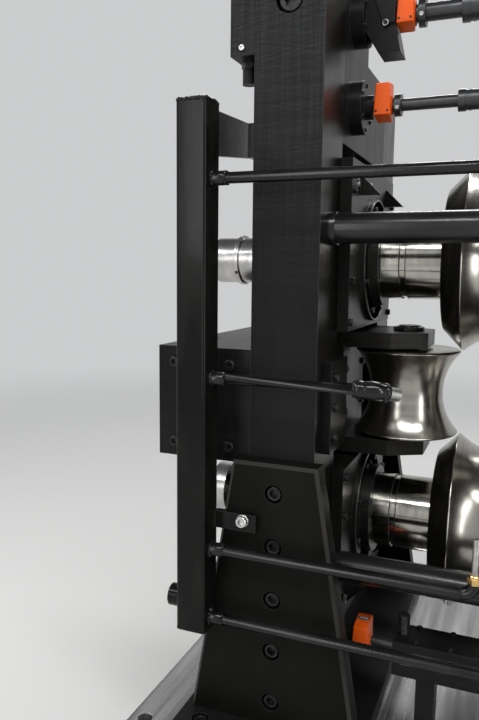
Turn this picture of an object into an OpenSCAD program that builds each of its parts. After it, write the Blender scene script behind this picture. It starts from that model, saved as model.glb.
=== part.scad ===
/* [Pass and rolls] */
// Radius of the round pass that the four rolls close around
pass_r = 109.5; // [90:0.5:115]
// Height of the pass centre above the floor
pass_z = 600; // [590:1:680]
// Distance from the pass centre to each horizontal roll shaft
shaft_h = 241; // [232:1:250]
// Distance from the pass centre to each upright side roll axle
side_x = 176; // [168:1:184]
// Gap between the bevels of neighbouring rolls in the closed pass
rim_gap = 5; // [4:0.5:10]
// Half width of the top and bottom rolls
roll_half_w = 111; // [104:1:116]
// Half height of the side rolls
side_roll_half = 79; // [77:0.5:80]

/* [Shafts and spacers] */
// Radius of the roll seat on each horizontal shaft
shaft_r = 45; // [35:1:48]
// Radius of the bearing journals
journal_r = 55; // [50:1:60]
// Outside radius of the spacer sleeves
spacer_r = 70; // [62:1:74]
// Length of the wide spacer sleeve next to the roll
spacer_a_l = 66; // [50:1:68]
// Length of the narrow lock ring between the sleeves
spacer_ring_l = 12; // [6:1:14]
// Radial step of the narrow lock ring
spacer_ring_step = 3; // [1:0.5:5]
// How far the drive ends of the shafts reach out
drive_end_x = 562; // [540:1:570]
// Radius of the drive end of the top shaft
drive_end_r = 45; // [38:1:52]
// Width of the lock collar on the drive end of the top shaft
collar_w = 8; // [4:1:12]
// Radial height of the lock collar
collar_h = 4; // [2:1:6]
// Distance from the drive end to the lock collar
collar_in = 46; // [40:1:56]
// Radius of the neck behind the coupling flange on the bottom shaft
neck_r = 30; // [24:1:33]
// Radius of the coupling flange on the bottom shaft
flange_r = 52; // [48:1:60]
// Thickness of the coupling flange on the bottom shaft
flange_t = 30; // [20:1:40]
// Pitch radius of the bolts in the coupling flange
flange_bolt_pr = 40; // [30:1:42]
// Radius of the bolt holes in the coupling flange
flange_bolt_r = 5.5; // [4:0.5:6]
// Number of bolt holes in the coupling flange
flange_bolt_n = 6; // [4:1:8]
// Radius of the axle in each side roll
axle_r = 20; // [15:1:25]
// Running clearance of shafts and pins in their bores
run_c = 0.05; // [0.02:0.01:0.1]

/* [Columns and feet] */
// Distance from the pass centre to the middle of each column
col_x = 325; // [315:1:335]
// Width of a column along the roll shafts
col_w = 110; // [96:1:120]
// Depth of a column along the mill line
col_d = 120; // [100:1:140]
// Half width of the chock window between the columns
win_half = 175; // [165:1:185]
// Height of the entry column tops above the pass centre
col_top = 700; // [690:1:760]
// Edge break on the column tops
col_chamfer = 8; // [4:1:12]
// Distance from the pass centre down to the top of the sole plates
col_floor = 520; // [515:1:530]
// Width of the switch box on the outer side of the drive column
swbox_w = 40; // [30:1:50]
// Depth of the switch box
swbox_d = 62; // [50:1:80]
// Height of the switch box
swbox_h = 94; // [80:1:104]
// Height of the switch box's lower face above the pass centre
swbox_z = 546; // [530:1:580]
// Radius of the cable gland under the switch box
gland_r = 11; // [8:1:14]
// Length of the cable gland under the switch box
gland_l = 36; // [20:1:40]
// Radius of the counterbore for each large crosshead bolt
big_cb_r = 22; // [18:1:24]
// Depth of the counterbore for each large crosshead bolt
big_cb_d = 26; // [16:1:40]
// Height of the crosshead bolts above the pass centre
big_cb_z = 620; // [600:1:640]
// Thickness of the foot plates
foot_t = 36; // [28:1:44]
// Distance from the pass centre down to the top of the foot plates
foot_top = 80; // [70:1:100]
// Half width of a foot plate at its top
foot_half_top = 70; // [60:1:76]
// Half width of a foot plate at its base
foot_half_base = 142; // [125:1:145]
// Edge break around the front of the foot plates
foot_chamfer = 5; // [2:1:7]
// Number of screws down each foot plate
foot_screw_n = 5; // [3:1:5]
// Pitch of the screws down each foot plate
foot_screw_pitch = 88; // [70:1:90]
// Distance from the top of a foot plate to its first screw
foot_screw_top = 48; // [40:1:60]
// Radius of the counterbores in the foot plates
foot_cb_r = 15; // [12:0.5:18]
// Depth of the counterbores in the foot plates
foot_cb_d = 18; // [10:1:24]
// Thickness of the sole plates
sole_t = 25; // [20:1:30]
// Half width of a sole plate
sole_half_w = 152; // [148:1:154]
// How far the sole plates reach past the fronts of the foot plates
sole_out = 54; // [44:1:60]
// Radius of the counterbores in the sole plates
sole_cb_r = 14; // [12:1:18]
// Depth of the counterbores in the sole plates
sole_cb_d = 14; // [10:1:18]
// Half spacing of the screws across a sole plate
sole_screw_half = 112; // [100:1:120]
// Distance from the end of a sole plate to its screws
sole_screw_in = 26; // [22:1:32]

/* [Bed plate] */
// Half length of the bed plate along the roll shafts
bed_half_x = 575; // [572:1:600]
// How far the bed plate reaches past the ends of the sole plates
bed_out = 10; // [6:1:30]
// Width of the ledge milled along each outer side of the bed
ledge_w = 50; // [30:1:60]
// Depth of the ledge milled along each outer side of the bed
ledge_d = 12; // [6:1:16]
// Half width of the shallow channel under the pass
channel_half = 148; // [120:1:150]
// Depth of the shallow channel under the pass
channel_d = 8; // [4:1:12]
// Width of the step along each side of the shallow channel
channel_step = 12; // [8:1:14]
// Depth of the step along each side of the shallow channel
channel_step_d = 4; // [2:1:6]
// Distance of the floor bolt holes from the bed's outer sides
anchor_in_x = 27; // [24:1:29]
// Distance of the floor bolt holes from the bed's other two sides
anchor_in_y = 45; // [30:1:60]
// Radius of the floor bolt holes
anchor_r = 13; // [9:0.5:14]

/* [Chocks] */
// Height of a chock face above or below the pass centre on the pass side
chock_in = 120; // [119:1:125]
// Height of a chock face above or below the pass centre on the screw side
chock_out = 385; // [375:1:390]
// Gap between a chock and the columns it slides on
guide_c = 1; // [0.5:0.5:2]
// Thickness of the keeper flanges on a chock
keeper_t = 20; // [14:1:21]
// How far the keeper flanges lap over the columns
keeper_lap = 10; // [6:1:16]
// How far the inner keeper plates stand past a chock on the screw side
keeper_up = 20; // [10:1:20]
// Gap between the bearing journals and the ends of a chock
journal_gap = 1; // [0.5:0.5:2]
// Length of the ribs on a chock's inner face, measured along the shaft
rib_l = 34; // [24:1:36]
// Thickness of the ribs on a chock's inner face
rib_t = 12; // [8:1:16]
// Distance of the ribs from the middle of a chock
rib_y = 112; // [100:1:130]
// Corner cut on the screw side of a chock
chock_corner = 30; // [15:1:36]
// Radius of the bearing cover on a chock
cover_r = 113; // [104:1:116]
// Thickness of the bearing cover on a chock
cover_t = 8; // [5:1:12]
// Radius of the seal ring on a chock
seal_r = 84; // [76:1:88]
// Thickness of the seal ring on a chock
seal_t = 18; // [14:1:20]
// Gap between the seal ring and the spacers
seal_gap = 1; // [1:0.5:3]
// Thickness of the outer bearing covers
outer_cover_t = 16; // [10:1:20]

/* [Screwdown] */
// Room between a chock and the crosshead or base block beyond it
block_gap = 45; // [40:1:55]
// Height of the crosshead blocks' top above the pass centre
block_top = 595; // [590:1:600]
// Depth of the top gear housing along the mill line
topg_d = 175; // [165:1:185]
// Radius of the screwdown and jack spindles
spindle_r = 35; // [28:1:40]
// Radius of the thrust cup on each spindle
cup_r = 46; // [42:1:50]
// Thickness of the thrust cup on each spindle
cup_t = 15; // [8:1:16]
// Travel of each chock
chock_travel = 20; // [10:1:20]
// Height of the spindle tops above the pass centre
spindle_top = 560; // [540:1:562]
// Room in the blocks past the ends of the spindles
spindle_room = 8; // [5:1:10]
// Depth of the jack spindles below the pass centre
jack_end = 480; // [470:1:485]
// Offset of the two adjusting shafts toward the entry side
adj_y = 110; // [95:1:120]
// Height of the upper adjusting shaft above the pass centre
adj_a_z = 497; // [485:1:510]
// Radius of the upper adjusting shaft
adj_a_r = 10; // [8:0.5:12]
// Height of the top adjusting shaft above the pass centre
adj_b_z = 639; // [625:1:645]
// Radius of the top adjusting shaft
adj_b_r = 14; // [10:0.5:16]
// Half length of the adjusting shafts
adj_half = 405; // [400:1:420]
// Radius of the coupling tube on the upper adjusting shaft
tube_a_r = 16; // [13:0.5:18]
// Radius of the coupling tube on the top adjusting shaft
tube_b_r = 21; // [18:0.5:24]
// Half length of the coupling tubes
tube_half = 96; // [80:1:110]
// Radius of the bearing flanges around the adjusting shafts
disc_r = 44; // [36:1:48]
// Thickness of the bearing flanges around the adjusting shafts
disc_t = 23; // [14:1:24]
// Radius of the bearing noses that the readouts sit on
nose_r = 20; // [18:1:24]
// Radial height of the clamp collars beside the readouts
clamp_h = 8; // [5:1:10]
// Width of the clamp collars beside the readouts
clamp_w = 11; // [8:1:14]
// Gap between a clamp collar and its readout
clamp_gap = 1; // [0.5:0.5:2]
// Size of the square wrench end on the adjusting shafts
wrench_s = 12; // [10:0.5:14]
// Length of the square wrench end on the adjusting shafts
wrench_l = 22; // [14:1:24]

/* [Readouts] */
// Width of a position readout along its shaft
read_w = 34; // [28:1:38]
// Height of a position readout
read_h = 52; // [46:1:60]
// Depth of a position readout
read_d = 54; // [44:1:60]
// How far a readout reaches in front of its shaft
read_front = 24; // [18:1:26]
// Distance of the upper readout from the middle of the stand
read_a_x = 216; // [212:1:222]
// Distance of the top readout from the middle of the stand
read_b_x = 182; // [178:1:190]
// Distance of the lower readout from the middle of the stand
read_c_x = 202; // [198:1:206]
// How far below its top face the readout shaft passes
read_axis = 34; // [28:1:38]
// Thickness of the front plate on the top readout's bracket
read_plate_t = 6; // [4:1:8]
// Edge break along the top corners of a readout
read_chamfer = 3; // [1:0.5:5]
// Width of the lower arm of the top readout's bracket
brkb_w = 26; // [20:1:30]
// Length of the lower arm of the top readout's bracket
brkb_l = 44; // [30:1:50]
// Set-out of the lower arm of the top readout's bracket
brkb_out = 10; // [4:1:14]
// Depth of the knee in the top readout's bracket
brkb_knee = 8; // [4:1:14]
// Clearance of a readout around its shaft
read_c = 0.5; // [0.3:0.1:1]

/* [Side rolls] */
// Half width of the side roll slide along the mill line
slide_half_y = 150; // [140:1:155]
// Half height of the side roll slide
slide_half_z = 75; // [65:1:78]
// How far out the slide reaches
slide_end_x = 400; // [395:1:405]
// Distance from the pass centre to the yoke's back plate
yoke_x = 279; // [277:1:284]
// Thickness of the yoke's back plate
yoke_t = 26; // [20:1:28]
// Half width of the yoke's back plate
yoke_half_y = 85; // [75:1:95]
// Gap between a side roll and the yoke arms
arm_gap = 5; // [5:0.5:6]
// Thickness of the yoke arms
arm_t = 28; // [20:1:29]
// Distance from the pass centre to where the arms start to narrow
arm_bend_x = 194; // [190:1:230]
// Distance from the pass centre to the arm noses
arm_nose_x = 134; // [132:1:140]
// Half width of the arm noses
arm_nose_half = 50; // [38:1:60]
// Radius of the axle nuts
axle_nut_r = 30; // [26:1:34]
// Thickness of the axle nuts
axle_nut_t = 14; // [8:1:16]
// Half length of the side roll axles
axle_half = 138; // [130:1:142]
// Travel of each side roll slide
side_travel = 25; // [10:1:25]
// Radius of the side adjusting screws
side_screw_r = 20; // [16:1:24]
// How far out the side adjusting screws reach
side_screw_x = 565; // [556:1:570]
// Half height of the side housings
sideh_half_z = 94; // [90:1:98]
// How far out the side housings reach
sideh_x = 547; // [530:1:550]
// Gap around the slide inside a side housing
sideh_gap = 8; // [5:1:10]
// Depth of the pocket for the slide in a side housing
sideh_pocket = 60; // [50:1:70]
// Thickness of the slide guides inside the window
guide_in_gap = 1; // [0.5:0.5:2]
// Thickness of the guide flange on the inner column face
guide_flange_t = 14; // [8:1:16]
// How far the guide flange laps over the column
guide_lap = 80; // [60:1:90]
// Radius of the hub boss around each side adjusting screw
sideh_boss_r = 50; // [40:1:60]
// Thickness of the hub boss around each side adjusting screw
sideh_boss_t = 8; // [4:1:10]

/* [Tie bars] */
// Radius of the round tie bars
tie_r = 18; // [14:1:22]
// Height of the upper tie bars above the pass centre
tie_up_z = 288; // [270:1:300]
// Distance of the lower tie bars below the pass centre
tie_low_z = 268; // [250:1:290]

/* [Lower gear unit] */
// Half length of the lower gear case
lowg_half_x = 146; // [130:1:155]
// Height of the lower gear case
lowg_h = 58; // [50:1:64]
// Depth of the lower gear case
lowg_d = 66; // [56:1:76]
// Distance of the lower gear case top below the pass centre
lowg_top = 381; // [370:1:390]
// Offset of the lower adjusting shaft toward the entry side
lowg_y = 205; // [200:1:215]
// Distance of the lower adjusting shaft below the pass centre
lowg_z = 405; // [400:1:410]
// Radius of the lower adjusting shaft
lowg_r = 7; // [5:0.5:9]
// Gap between the ends of the lower adjusting shaft and the columns
lowg_shaft_in = 4; // [2:1:8]
// Width of each leg under the lower gear case
lowg_leg_w = 30; // [20:1:40]
// Distance of the legs from the middle of the lower gear case
lowg_leg_x = 92; // [60:1:100]
// Depth of each leg under the lower gear case
lowg_leg_d = 50; // [40:1:54]
// Side of the square end bearings of the lower adjusting shaft
lowg_end_s = 28; // [20:1:28]
// Radius of the oil plug stub on the lower gear case
lowg_stub_r = 9; // [6:1:12]
// Height of the oil plug stub on the lower gear case
lowg_stub_h = 34; // [20:1:44]
// Distance of the oil plug stub from the end of the case
lowg_stub_in = 4; // [2:1:10]

/* [Coolant header] */
// Side of the square header tube
tube_s = 50; // [40:1:60]
// Wall of the square header tube
tube_wall = 4; // [3:0.5:6]
// Corner radius of the square header tube
tube_corner = 5; // [3:0.5:8]
// Distance from the stand's centre to the header tube along the roll shafts
tube_x = 445; // [440:1:470]
// Gap between the header tube and the fronts of the foot plates
tube_gap = 1; // [0.5:0.5:3]
// Height of the header tube top above the pass centre
tube_top = 469; // [460:1:500]
// Distance of the header tube bottom below the pass centre
tube_bot = 357; // [355:1:380]
// Thickness of the plate that closes the tube's bottom
tube_floor = 10; // [6:1:16]
// Radius of the inlet socket on the outer side of the header tube
inlet_boss_r = 18; // [16:1:22]
// Length of the inlet socket
inlet_boss_l = 20; // [12:1:30]
// Radius of the thread hole in the inlet socket
inlet_r = 12; // [8:0.5:14]
// Height of the inlet socket above the bottom of the header tube
inlet_up = 45; // [34:1:80]
// Outside radius of the coolant pipes
pipe_r = 8.6; // [6.9:0.1:10.7]
// Bore radius of the coolant pipes
pipe_bore_r = 6.2; // [4:0.1:6.3]
// Bend radius of the pipe elbows
elbow_r = 16; // [13:1:20]
// Radius of the pipe fittings
fit_r = 13; // [11:0.5:16]
// Length of the fittings at the header tube
fit_l = 30; // [20:1:34]
// Height of the top spray pipe above the pass centre
pipe_1_z = 356; // [340:1:380]
// Height of the second spray pipe above the pass centre
pipe_2_z = 54; // [45:1:70]
// Distance of the third spray pipe below the pass centre
pipe_3_z = 222; // [215:1:235]
// Distance of the lowest spray pipe below the pass centre
pipe_4_z = 337; // [322:1:340]
// Where the top spray pipe turns to the roll
pipe_1_x = 40; // [20:1:60]
// Where the second spray pipe turns to the side roll
pipe_2_x = 169; // [160:1:190]
// Where the third spray pipe turns up
pipe_3_x = 20; // [10:1:40]
// Where the lowest spray pipe turns up
pipe_4_x = 40; // [20:1:60]
// Length of the thin spray tube on the third pipe
riser_l = 50; // [40:1:80]
// Radius of the thin spray tube on the third pipe
riser_r = 5; // [4:0.5:6]
// Bore radius of the thin spray tube
riser_bore_r = 3.5; // [2.5:0.1:3.7]
// Length of the short spray stubs
stub_l = 34; // [20:1:40]
// Height of the brass nut under the thin spray tube
nut_h = 15; // [12:1:20]
// Radius of the brass nut under the thin spray tube
nut_r = 12; // [10:0.5:14]
// Radius of the corner fitting on the second pipe
corner_r = 14; // [12:0.5:16]
// Height of the corner fitting on the second pipe
corner_h = 30; // [26:1:36]
// Length of the nipple on the second pipe from the middle of its corner
nipple_l = 42; // [28:1:44]
// Radius of the nipple on the second pipe
nipple_r = 11; // [9:0.5:12]
// Bore radius of the nipple on the second pipe
nipple_bore_r = 5.5; // [4:0.1:6]
// Angle of the nipple on the second pipe
nipple_a = 30; // [20:5:60]
// Thickness of the header tube's brackets
brk_t = 10; // [6:1:14]
// Height of the upper bracket's top at the column above the pass centre
brk_top = 446; // [440:1:460]
// Height of the upper bracket at the column
brk_h = 52; // [40:1:60]
// How much higher the upper bracket stands at the header tube
brk_rise = 18; // [10:1:24]
// Distance of the lower bracket below the pass centre
brk_low_z = 177; // [160:1:200]
// Height of the lower bracket
brk_low_h = 28; // [20:1:36]
// Thickness of the lower bracket
brk_low_t = 12; // [10:1:14]
// Length of the lower bracket
brk_low_l = 70; // [60:1:90]
// Length of the upper bracket's foot on the column
brk_foot_l = 60; // [40:1:80]
// How far behind the column's front face the upper bracket starts
brk_in = 2; // [0:1:6]

/* [Hidden] */
$fn = 96;
cos45 = sqrt(0.5);
bev = rim_gap * cos45;
rim_x = (-bev + sqrt(2 * pass_r * pass_r - bev * bev)) / 2;
col_in = col_x - col_w / 2;
col_out = col_x + col_w / 2;
col_y = win_half + col_d / 2;
front_y = win_half + col_d;
foot_y = front_y + foot_t;
sole_half_l = foot_y + sole_out;
bed_half_y = sole_half_l + bed_out;
anchor_half_x = bed_half_x - anchor_in_x;
anchor_half_y = bed_half_y - anchor_in_y;
sole_top = pass_z - col_floor;
bed_top = sole_top - sole_t;
chock_a = col_in - guide_c - keeper_t;
chock_b = col_out + guide_c + keeper_t;
chock_y = win_half - guide_c;
block_in = chock_out + block_gap;
seal_x = chock_a - cover_t;
spacer_b_end = seal_x - seal_t - seal_gap;
spacer_ring_a = roll_half_w + spacer_a_l;
arm_in = side_roll_half + arm_gap;
arm_out = arm_in + arm_t;
yoke_back = yoke_x + yoke_t;
tube_in = tube_x - tube_s / 2;
tube_out = tube_x + tube_s / 2;
tube_rear = foot_y + tube_gap;
tube_y = tube_rear + tube_s / 2;
read_a_in = read_a_x + read_w / 2;
read_b_in = read_b_x + read_w / 2;
read_c_in = read_c_x + read_w / 2;

// Box from low corner to high corner
module box(lo, hi) {
  translate(lo) cube(hi - lo);
}

// Bar along the roll shafts from x0 to x1
module bar_x(x0, x1, r, y, z) {
  translate([x0, y, z]) rotate([0, 90, 0]) cylinder(r = r, h = x1 - x0);
}

// Bar along the mill line from y0 to y1
module bar_y(y0, y1, r, x, z) {
  translate([x, y0, z]) rotate([-90, 0, 0]) cylinder(r = r, h = y1 - y0);
}

// Upright bar from z0 to z1
module bar_z(z0, z1, r, x, y) {
  translate([x, y, z0]) cylinder(r = r, h = z1 - z0);
}

// Drive side entry pieces are drawn, the others are their mirrors
module flip(op = 0, exit = 0) {
  mirror([op, 0, 0]) mirror([0, exit, 0]) children();
}

// Turns a top piece over to the bottom, about the pass centre
module under() {
  translate([0, 0, pass_z]) mirror([0, 0, 1]) translate([0, 0, -pass_z]) children();
}

// Turned roll whose groove and bevels follow the pass
module roll(axis_d, half, bore) {
  n = 18;
  face = axis_d - half - bev;
  groove = [for (i = [-n : n]) let (u = rim_x * i / n)
    [axis_d - sqrt(pass_r * pass_r - u * u), u]];
  rotate_extrude() polygon(concat([[bore, -half], [face, -half]],
    groove, [[face, half], [bore, half]]));
}

module bed_plate() {
  color([0.62, 0.62, 0.60]) difference() {
    box([-bed_half_x, -bed_half_y, 0], [bed_half_x, bed_half_y, bed_top]);
    for (s = [-1, 1]) {
      translate([s * (bed_half_x - ledge_w / 2), 0, bed_top])
        cube([ledge_w + 0.02, 2 * bed_half_y + 2, 2 * ledge_d], center = true);
      for (t = [-1, 1])
        bar_z(-1, bed_top + 1, anchor_r, s * anchor_half_x, t * anchor_half_y);
    }
    box([-channel_half, -bed_half_y - 1, bed_top - channel_d],
      [channel_half, bed_half_y + 1, bed_top + 1]);
    box([-channel_half - channel_step, -bed_half_y - 1, bed_top - channel_step_d],
      [channel_half + channel_step, bed_half_y + 1, bed_top + 1]);
  }
}

module sole_plates() {
  color([0.08, 0.08, 0.08]) for (m = [0, 1]) mirror([m, 0, 0]) difference() {
    box([-col_x - sole_half_w, -sole_half_l, bed_top],
      [-col_x + sole_half_w, sole_half_l, sole_top]);
    for (s = [-1, 1]) for (t = [-1, 1])
      bar_z(sole_top - sole_cb_d, sole_top + 1, sole_cb_r,
        s * sole_screw_half - col_x, t * (sole_half_l - sole_screw_in));
  }
}

// Column up to the height top above the pass centre
module column(top) {
  z1 = pass_z + top;
  c = col_chamfer;
  color([0.16, 0.16, 0.17]) difference() {
    intersection() {
      box([-col_out, -front_y, sole_top], [-col_in, -win_half, z1]);
      translate([0, -win_half + 1, 0]) rotate([90, 0, 0]) linear_extrude(col_d + 2)
        polygon([[-col_out, 0], [-col_in, 0], [-col_in, z1 - c],
          [-col_in - c, z1], [-col_out + c, z1], [-col_out, z1 - c]]);
    }
    if (top > big_cb_z)
      bar_y(-front_y - 1, -front_y + big_cb_d, big_cb_r, -col_x, pass_z + big_cb_z);
  }
}

// Entry column of the drive side with its switch box and cable gland
module column_with_box() {
  xg = -col_out - swbox_w / 2;
  yg = -front_y + swbox_d / 2;
  column(col_top);
  color([0.13, 0.13, 0.14]) {
    box([-col_out - swbox_w, -front_y, pass_z + swbox_z],
      [-col_out, -front_y + swbox_d, pass_z + swbox_z + swbox_h]);
    bar_z(pass_z + swbox_z - gland_l, pass_z + swbox_z, gland_r, xg, yg);
  }
}

module foot() {
  h = col_floor - foot_top;
  lean = atan((foot_half_base - foot_half_top) / h);
  c = foot_chamfer * cos45;
  w = 6 * foot_chamfer;
  color([0.07, 0.07, 0.07]) difference() {
    translate([-col_x, -front_y, sole_top]) rotate([90, 0, 0]) linear_extrude(foot_t)
      polygon([[-foot_half_base, 0], [foot_half_base, 0],
        [foot_half_top, h], [-foot_half_top, h]]);
    for (s = [-1, 1])
      translate([s * foot_half_base - col_x, -foot_y, sole_top])
        rotate([0, -s * lean, 0]) rotate([0, 0, -s * 45])
        translate([s < 0 ? -w : -c, -w, -w]) cube([w + c, 2 * w, h + 4 * w]);
    translate([-col_x - foot_half_top - w, -foot_y, sole_top + h])
      rotate([45, 0, 0]) translate([0, -w, -c])
      cube([2 * foot_half_top + 2 * w, 2 * w, w]);
    for (i = [0 : foot_screw_n - 1])
      bar_y(-foot_y - 1, -foot_y + foot_cb_d, foot_cb_r, -col_x,
        pass_z - foot_top - foot_screw_top - i * foot_screw_pitch);
  }
}

module crosshead() {
  color([0.12, 0.12, 0.13]) difference() {
    union() {
      box([-col_out, -win_half, pass_z + block_in], [-col_in, win_half, pass_z + block_top]);
      box([-col_out, -win_half, pass_z + block_in],
        [-col_in, -win_half + topg_d, pass_z + col_top]);
      for (z = [adj_a_z, adj_b_z])
        bar_x(-col_in, -col_in + disc_t, disc_r, -adj_y, pass_z + z);
    }
    bar_z(pass_z + block_in - 1, pass_z + spindle_top + chock_travel + spindle_room,
      spindle_r + run_c, -col_x, 0);
    bar_x(-col_out - 1, -col_in + disc_t + 1, adj_a_r + run_c, -adj_y, pass_z + adj_a_z);
    bar_x(-col_out - 1, -col_in + disc_t + 1, adj_b_r + run_c, -adj_y, pass_z + adj_b_z);
  }
}

// Drive side crosshead with the nose and bracket that hold the two upper readouts
module crosshead_with_plates() {
  zb = pass_z + adj_b_z;
  xd = -col_in + disc_t;
  low = read_axis - read_h;
  crosshead();
  color([0.10, 0.10, 0.11]) difference() {
    union() {
      bar_x(xd, -read_a_in, nose_r, -adj_y, pass_z + adj_a_z);
      translate([0, read_d - read_front - adj_y, zb]) rotate([90, 0, 0]) linear_extrude(read_d)
        polygon([[xd, read_axis], [xd, low - brkb_knee], [-read_b_in - brkb_w, low - brkb_l],
          [-read_b_in + brkb_out, low - brkb_l], [-read_b_in, low], [-read_b_in, read_axis]]);
      translate([0, -read_front - adj_y, zb]) rotate([90, 0, 0]) linear_extrude(read_plate_t)
        polygon([[xd + brkb_out, read_axis], [-read_b_in - brkb_w + brkb_knee, low],
          [-read_b_in, low], [-read_b_in, read_axis]]);
    }
    bar_x(xd - 1, -read_a_x, adj_a_r + read_c, -adj_y, pass_z + adj_a_z);
    bar_x(xd - 1, -read_b_x, adj_b_r + read_c, -adj_y, zb);
  }
}

module base_block() {
  color([0.09, 0.09, 0.09]) difference() {
    box([-col_out, -win_half, sole_top], [-col_in, win_half, pass_z - block_in]);
    bar_z(pass_z - jack_end - chock_travel - spindle_room, pass_z, spindle_r + run_c, -col_x, 0);
  }
}

module side_housing() {
  color([0.10, 0.10, 0.11]) difference() {
    union() {
      box([-sideh_x, -front_y, pass_z - sideh_half_z],
        [-col_out, front_y, pass_z + sideh_half_z]);
      bar_x(-sideh_x - sideh_boss_t, -sideh_x, sideh_boss_r, 0, pass_z);
    }
    box([-col_out - sideh_pocket, -slide_half_y - sideh_gap, pass_z - slide_half_z - sideh_gap],
      [-col_out + 1, slide_half_y + sideh_gap, pass_z + slide_half_z + sideh_gap]);
    bar_x(-sideh_x - sideh_boss_t - 1, -col_out, side_screw_r + run_c, 0, pass_z);
  }
}

module side_guides() {
  y0 = slide_half_y + guide_in_gap;
  color([0.20, 0.20, 0.21]) for (m = [0, 1]) for (k = [0, 1]) flip(m, k) {
    difference() {
      box([-col_out, -win_half - guide_lap, pass_z - slide_half_z],
        [-col_in + guide_flange_t, -y0, pass_z + slide_half_z]);
      box([-col_out - 1, -win_half - guide_lap - 1, pass_z - slide_half_z - 1],
        [-col_in, -win_half, pass_z + slide_half_z + 1]);
    }
  }
}

module tie_bars() {
  color([0.09, 0.09, 0.09]) for (s = [-1, 1]) for (z = [tie_up_z, -tie_low_z])
    bar_x(-col_in, col_in, tie_r, s * col_y, pass_z + z);
}

// Top chock of the drive side, open to the outside where the shaft passes
module chock(through) {
  zt = pass_z + chock_out;
  k = win_half + keeper_lap;
  xi = -chock_a - keeper_t;
  color([0.11, 0.11, 0.12]) difference() {
    union() {
      translate([-chock_b, 0, 0]) rotate([90, 0, 90]) linear_extrude(chock_b - chock_a)
        polygon([[-chock_y, pass_z + chock_in], [chock_y, pass_z + chock_in],
          [chock_y, zt - chock_corner], [chock_y - chock_corner, zt],
          [-chock_y + chock_corner, zt], [-chock_y, zt - chock_corner]]);
      translate([-chock_b, 0, 0]) rotate([90, 0, 90]) linear_extrude(keeper_t)
        polygon([[-k, pass_z + chock_in], [k, pass_z + chock_in],
          [k, zt - chock_corner - keeper_lap], [k - chock_corner - keeper_lap, zt],
          [-k + chock_corner + keeper_lap, zt], [-k, zt - chock_corner - keeper_lap]]);
      box([xi, -k, pass_z + chock_in], [-chock_a, k, zt + keeper_up]);
      for (y = [-rib_y - rib_t, rib_y])
        translate([0, y + rib_t, zt]) rotate([90, 0, 0]) linear_extrude(rib_t)
          polygon([[xi, 0], [-chock_a, 0], [-chock_a + rib_l, -rib_l], [xi, -rib_l]]);
      bar_x(-chock_a, -seal_x, cover_r, 0, pass_z + shaft_h);
      bar_x(-seal_x, -seal_x + seal_t, seal_r, 0, pass_z + shaft_h);
      bar_x(-chock_b - outer_cover_t, -chock_b, cover_r, 0, pass_z + shaft_h);
    }
    bar_x(-chock_b, -chock_a, journal_r + run_c, 0, pass_z + shaft_h);
    bar_x(-chock_b - (through ? outer_cover_t + 1 : 0), -seal_x + seal_t + 1,
      shaft_r + seal_gap, 0, pass_z + shaft_h);
  }
}

// Horizontal roll shaft at the height of the top roll, without its drive end
module shaft_core() {
  z = pass_z + shaft_h;
  bar_x(-chock_a, chock_a, shaft_r, 0, z);
  for (s = [-1, 1])
    bar_x(s > 0 ? chock_a + journal_gap : journal_gap - chock_b,
      s > 0 ? chock_b - journal_gap : -chock_a - journal_gap, journal_r, 0, z);
}

module top_shaft() {
  z = pass_z + shaft_h;
  color([0.55, 0.55, 0.56]) {
    shaft_core();
    bar_x(-chock_a - 2, -chock_a, shaft_r, 0, z);
    bar_x(chock_a, chock_a + 2, shaft_r, 0, z);
    bar_x(-drive_end_x, -chock_b + 2, drive_end_r, 0, z);
    bar_x(-drive_end_x + collar_in, -drive_end_x + collar_in + collar_w,
      drive_end_r + collar_h, 0, z);
  }
}

module bottom_shaft() {
  z = pass_z - shaft_h;
  color([0.55, 0.55, 0.56]) {
    under() shaft_core();
    bar_x(-chock_a - 2, -chock_a, shaft_r, 0, z);
    bar_x(chock_a, chock_a + 2, shaft_r, 0, z);
    bar_x(-drive_end_x + flange_t - 1, -chock_b + 2, neck_r, 0, z);
    difference() {
      bar_x(-drive_end_x, -drive_end_x + flange_t, flange_r, 0, z);
      for (i = [0 : flange_bolt_n - 1])
        bar_x(-drive_end_x - 1, -drive_end_x + flange_t + 1, flange_bolt_r,
          flange_bolt_pr * cos(i * 360 / flange_bolt_n),
          z + flange_bolt_pr * sin(i * 360 / flange_bolt_n));
    }
  }
}

module top_roll() {
  color([0.50, 0.50, 0.50]) translate([0, 0, pass_z + shaft_h]) rotate([0, 90, 0])
    roll(shaft_h, roll_half_w, shaft_r);
}

module bottom_roll() {
  color([0.50, 0.50, 0.50]) translate([0, 0, pass_z - shaft_h]) rotate([0, 90, 0])
    roll(shaft_h, roll_half_w, shaft_r);
}

// Spacer sleeves and lock ring between a roll and its bearing covers
module spacers(z) {
  b = spacer_ring_a + spacer_ring_l;
  color([0.66, 0.66, 0.66]) for (m = [0, 1]) mirror([m, 0, 0])
    translate([0, 0, z]) rotate([0, 90, 0]) rotate_extrude()
      polygon([[shaft_r, roll_half_w], [spacer_r, roll_half_w],
        [spacer_r, spacer_ring_a], [spacer_r - spacer_ring_step, spacer_ring_a],
        [spacer_r - spacer_ring_step, b], [spacer_r, b],
        [spacer_r, spacer_b_end], [shaft_r, spacer_b_end]]);
}

module side_roll() {
  color([0.50, 0.50, 0.50]) translate([-side_x, 0, pass_z])
    roll(side_x, side_roll_half, axle_r + run_c);
}

// Plan of one yoke arm from the back plate to its nose
module arm_plan() {
  polygon([[-yoke_back, -yoke_half_y], [-arm_bend_x, -yoke_half_y],
    [-arm_nose_x, -arm_nose_half], [-arm_nose_x, arm_nose_half],
    [-arm_bend_x, yoke_half_y], [-yoke_back, yoke_half_y]]);
}

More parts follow.
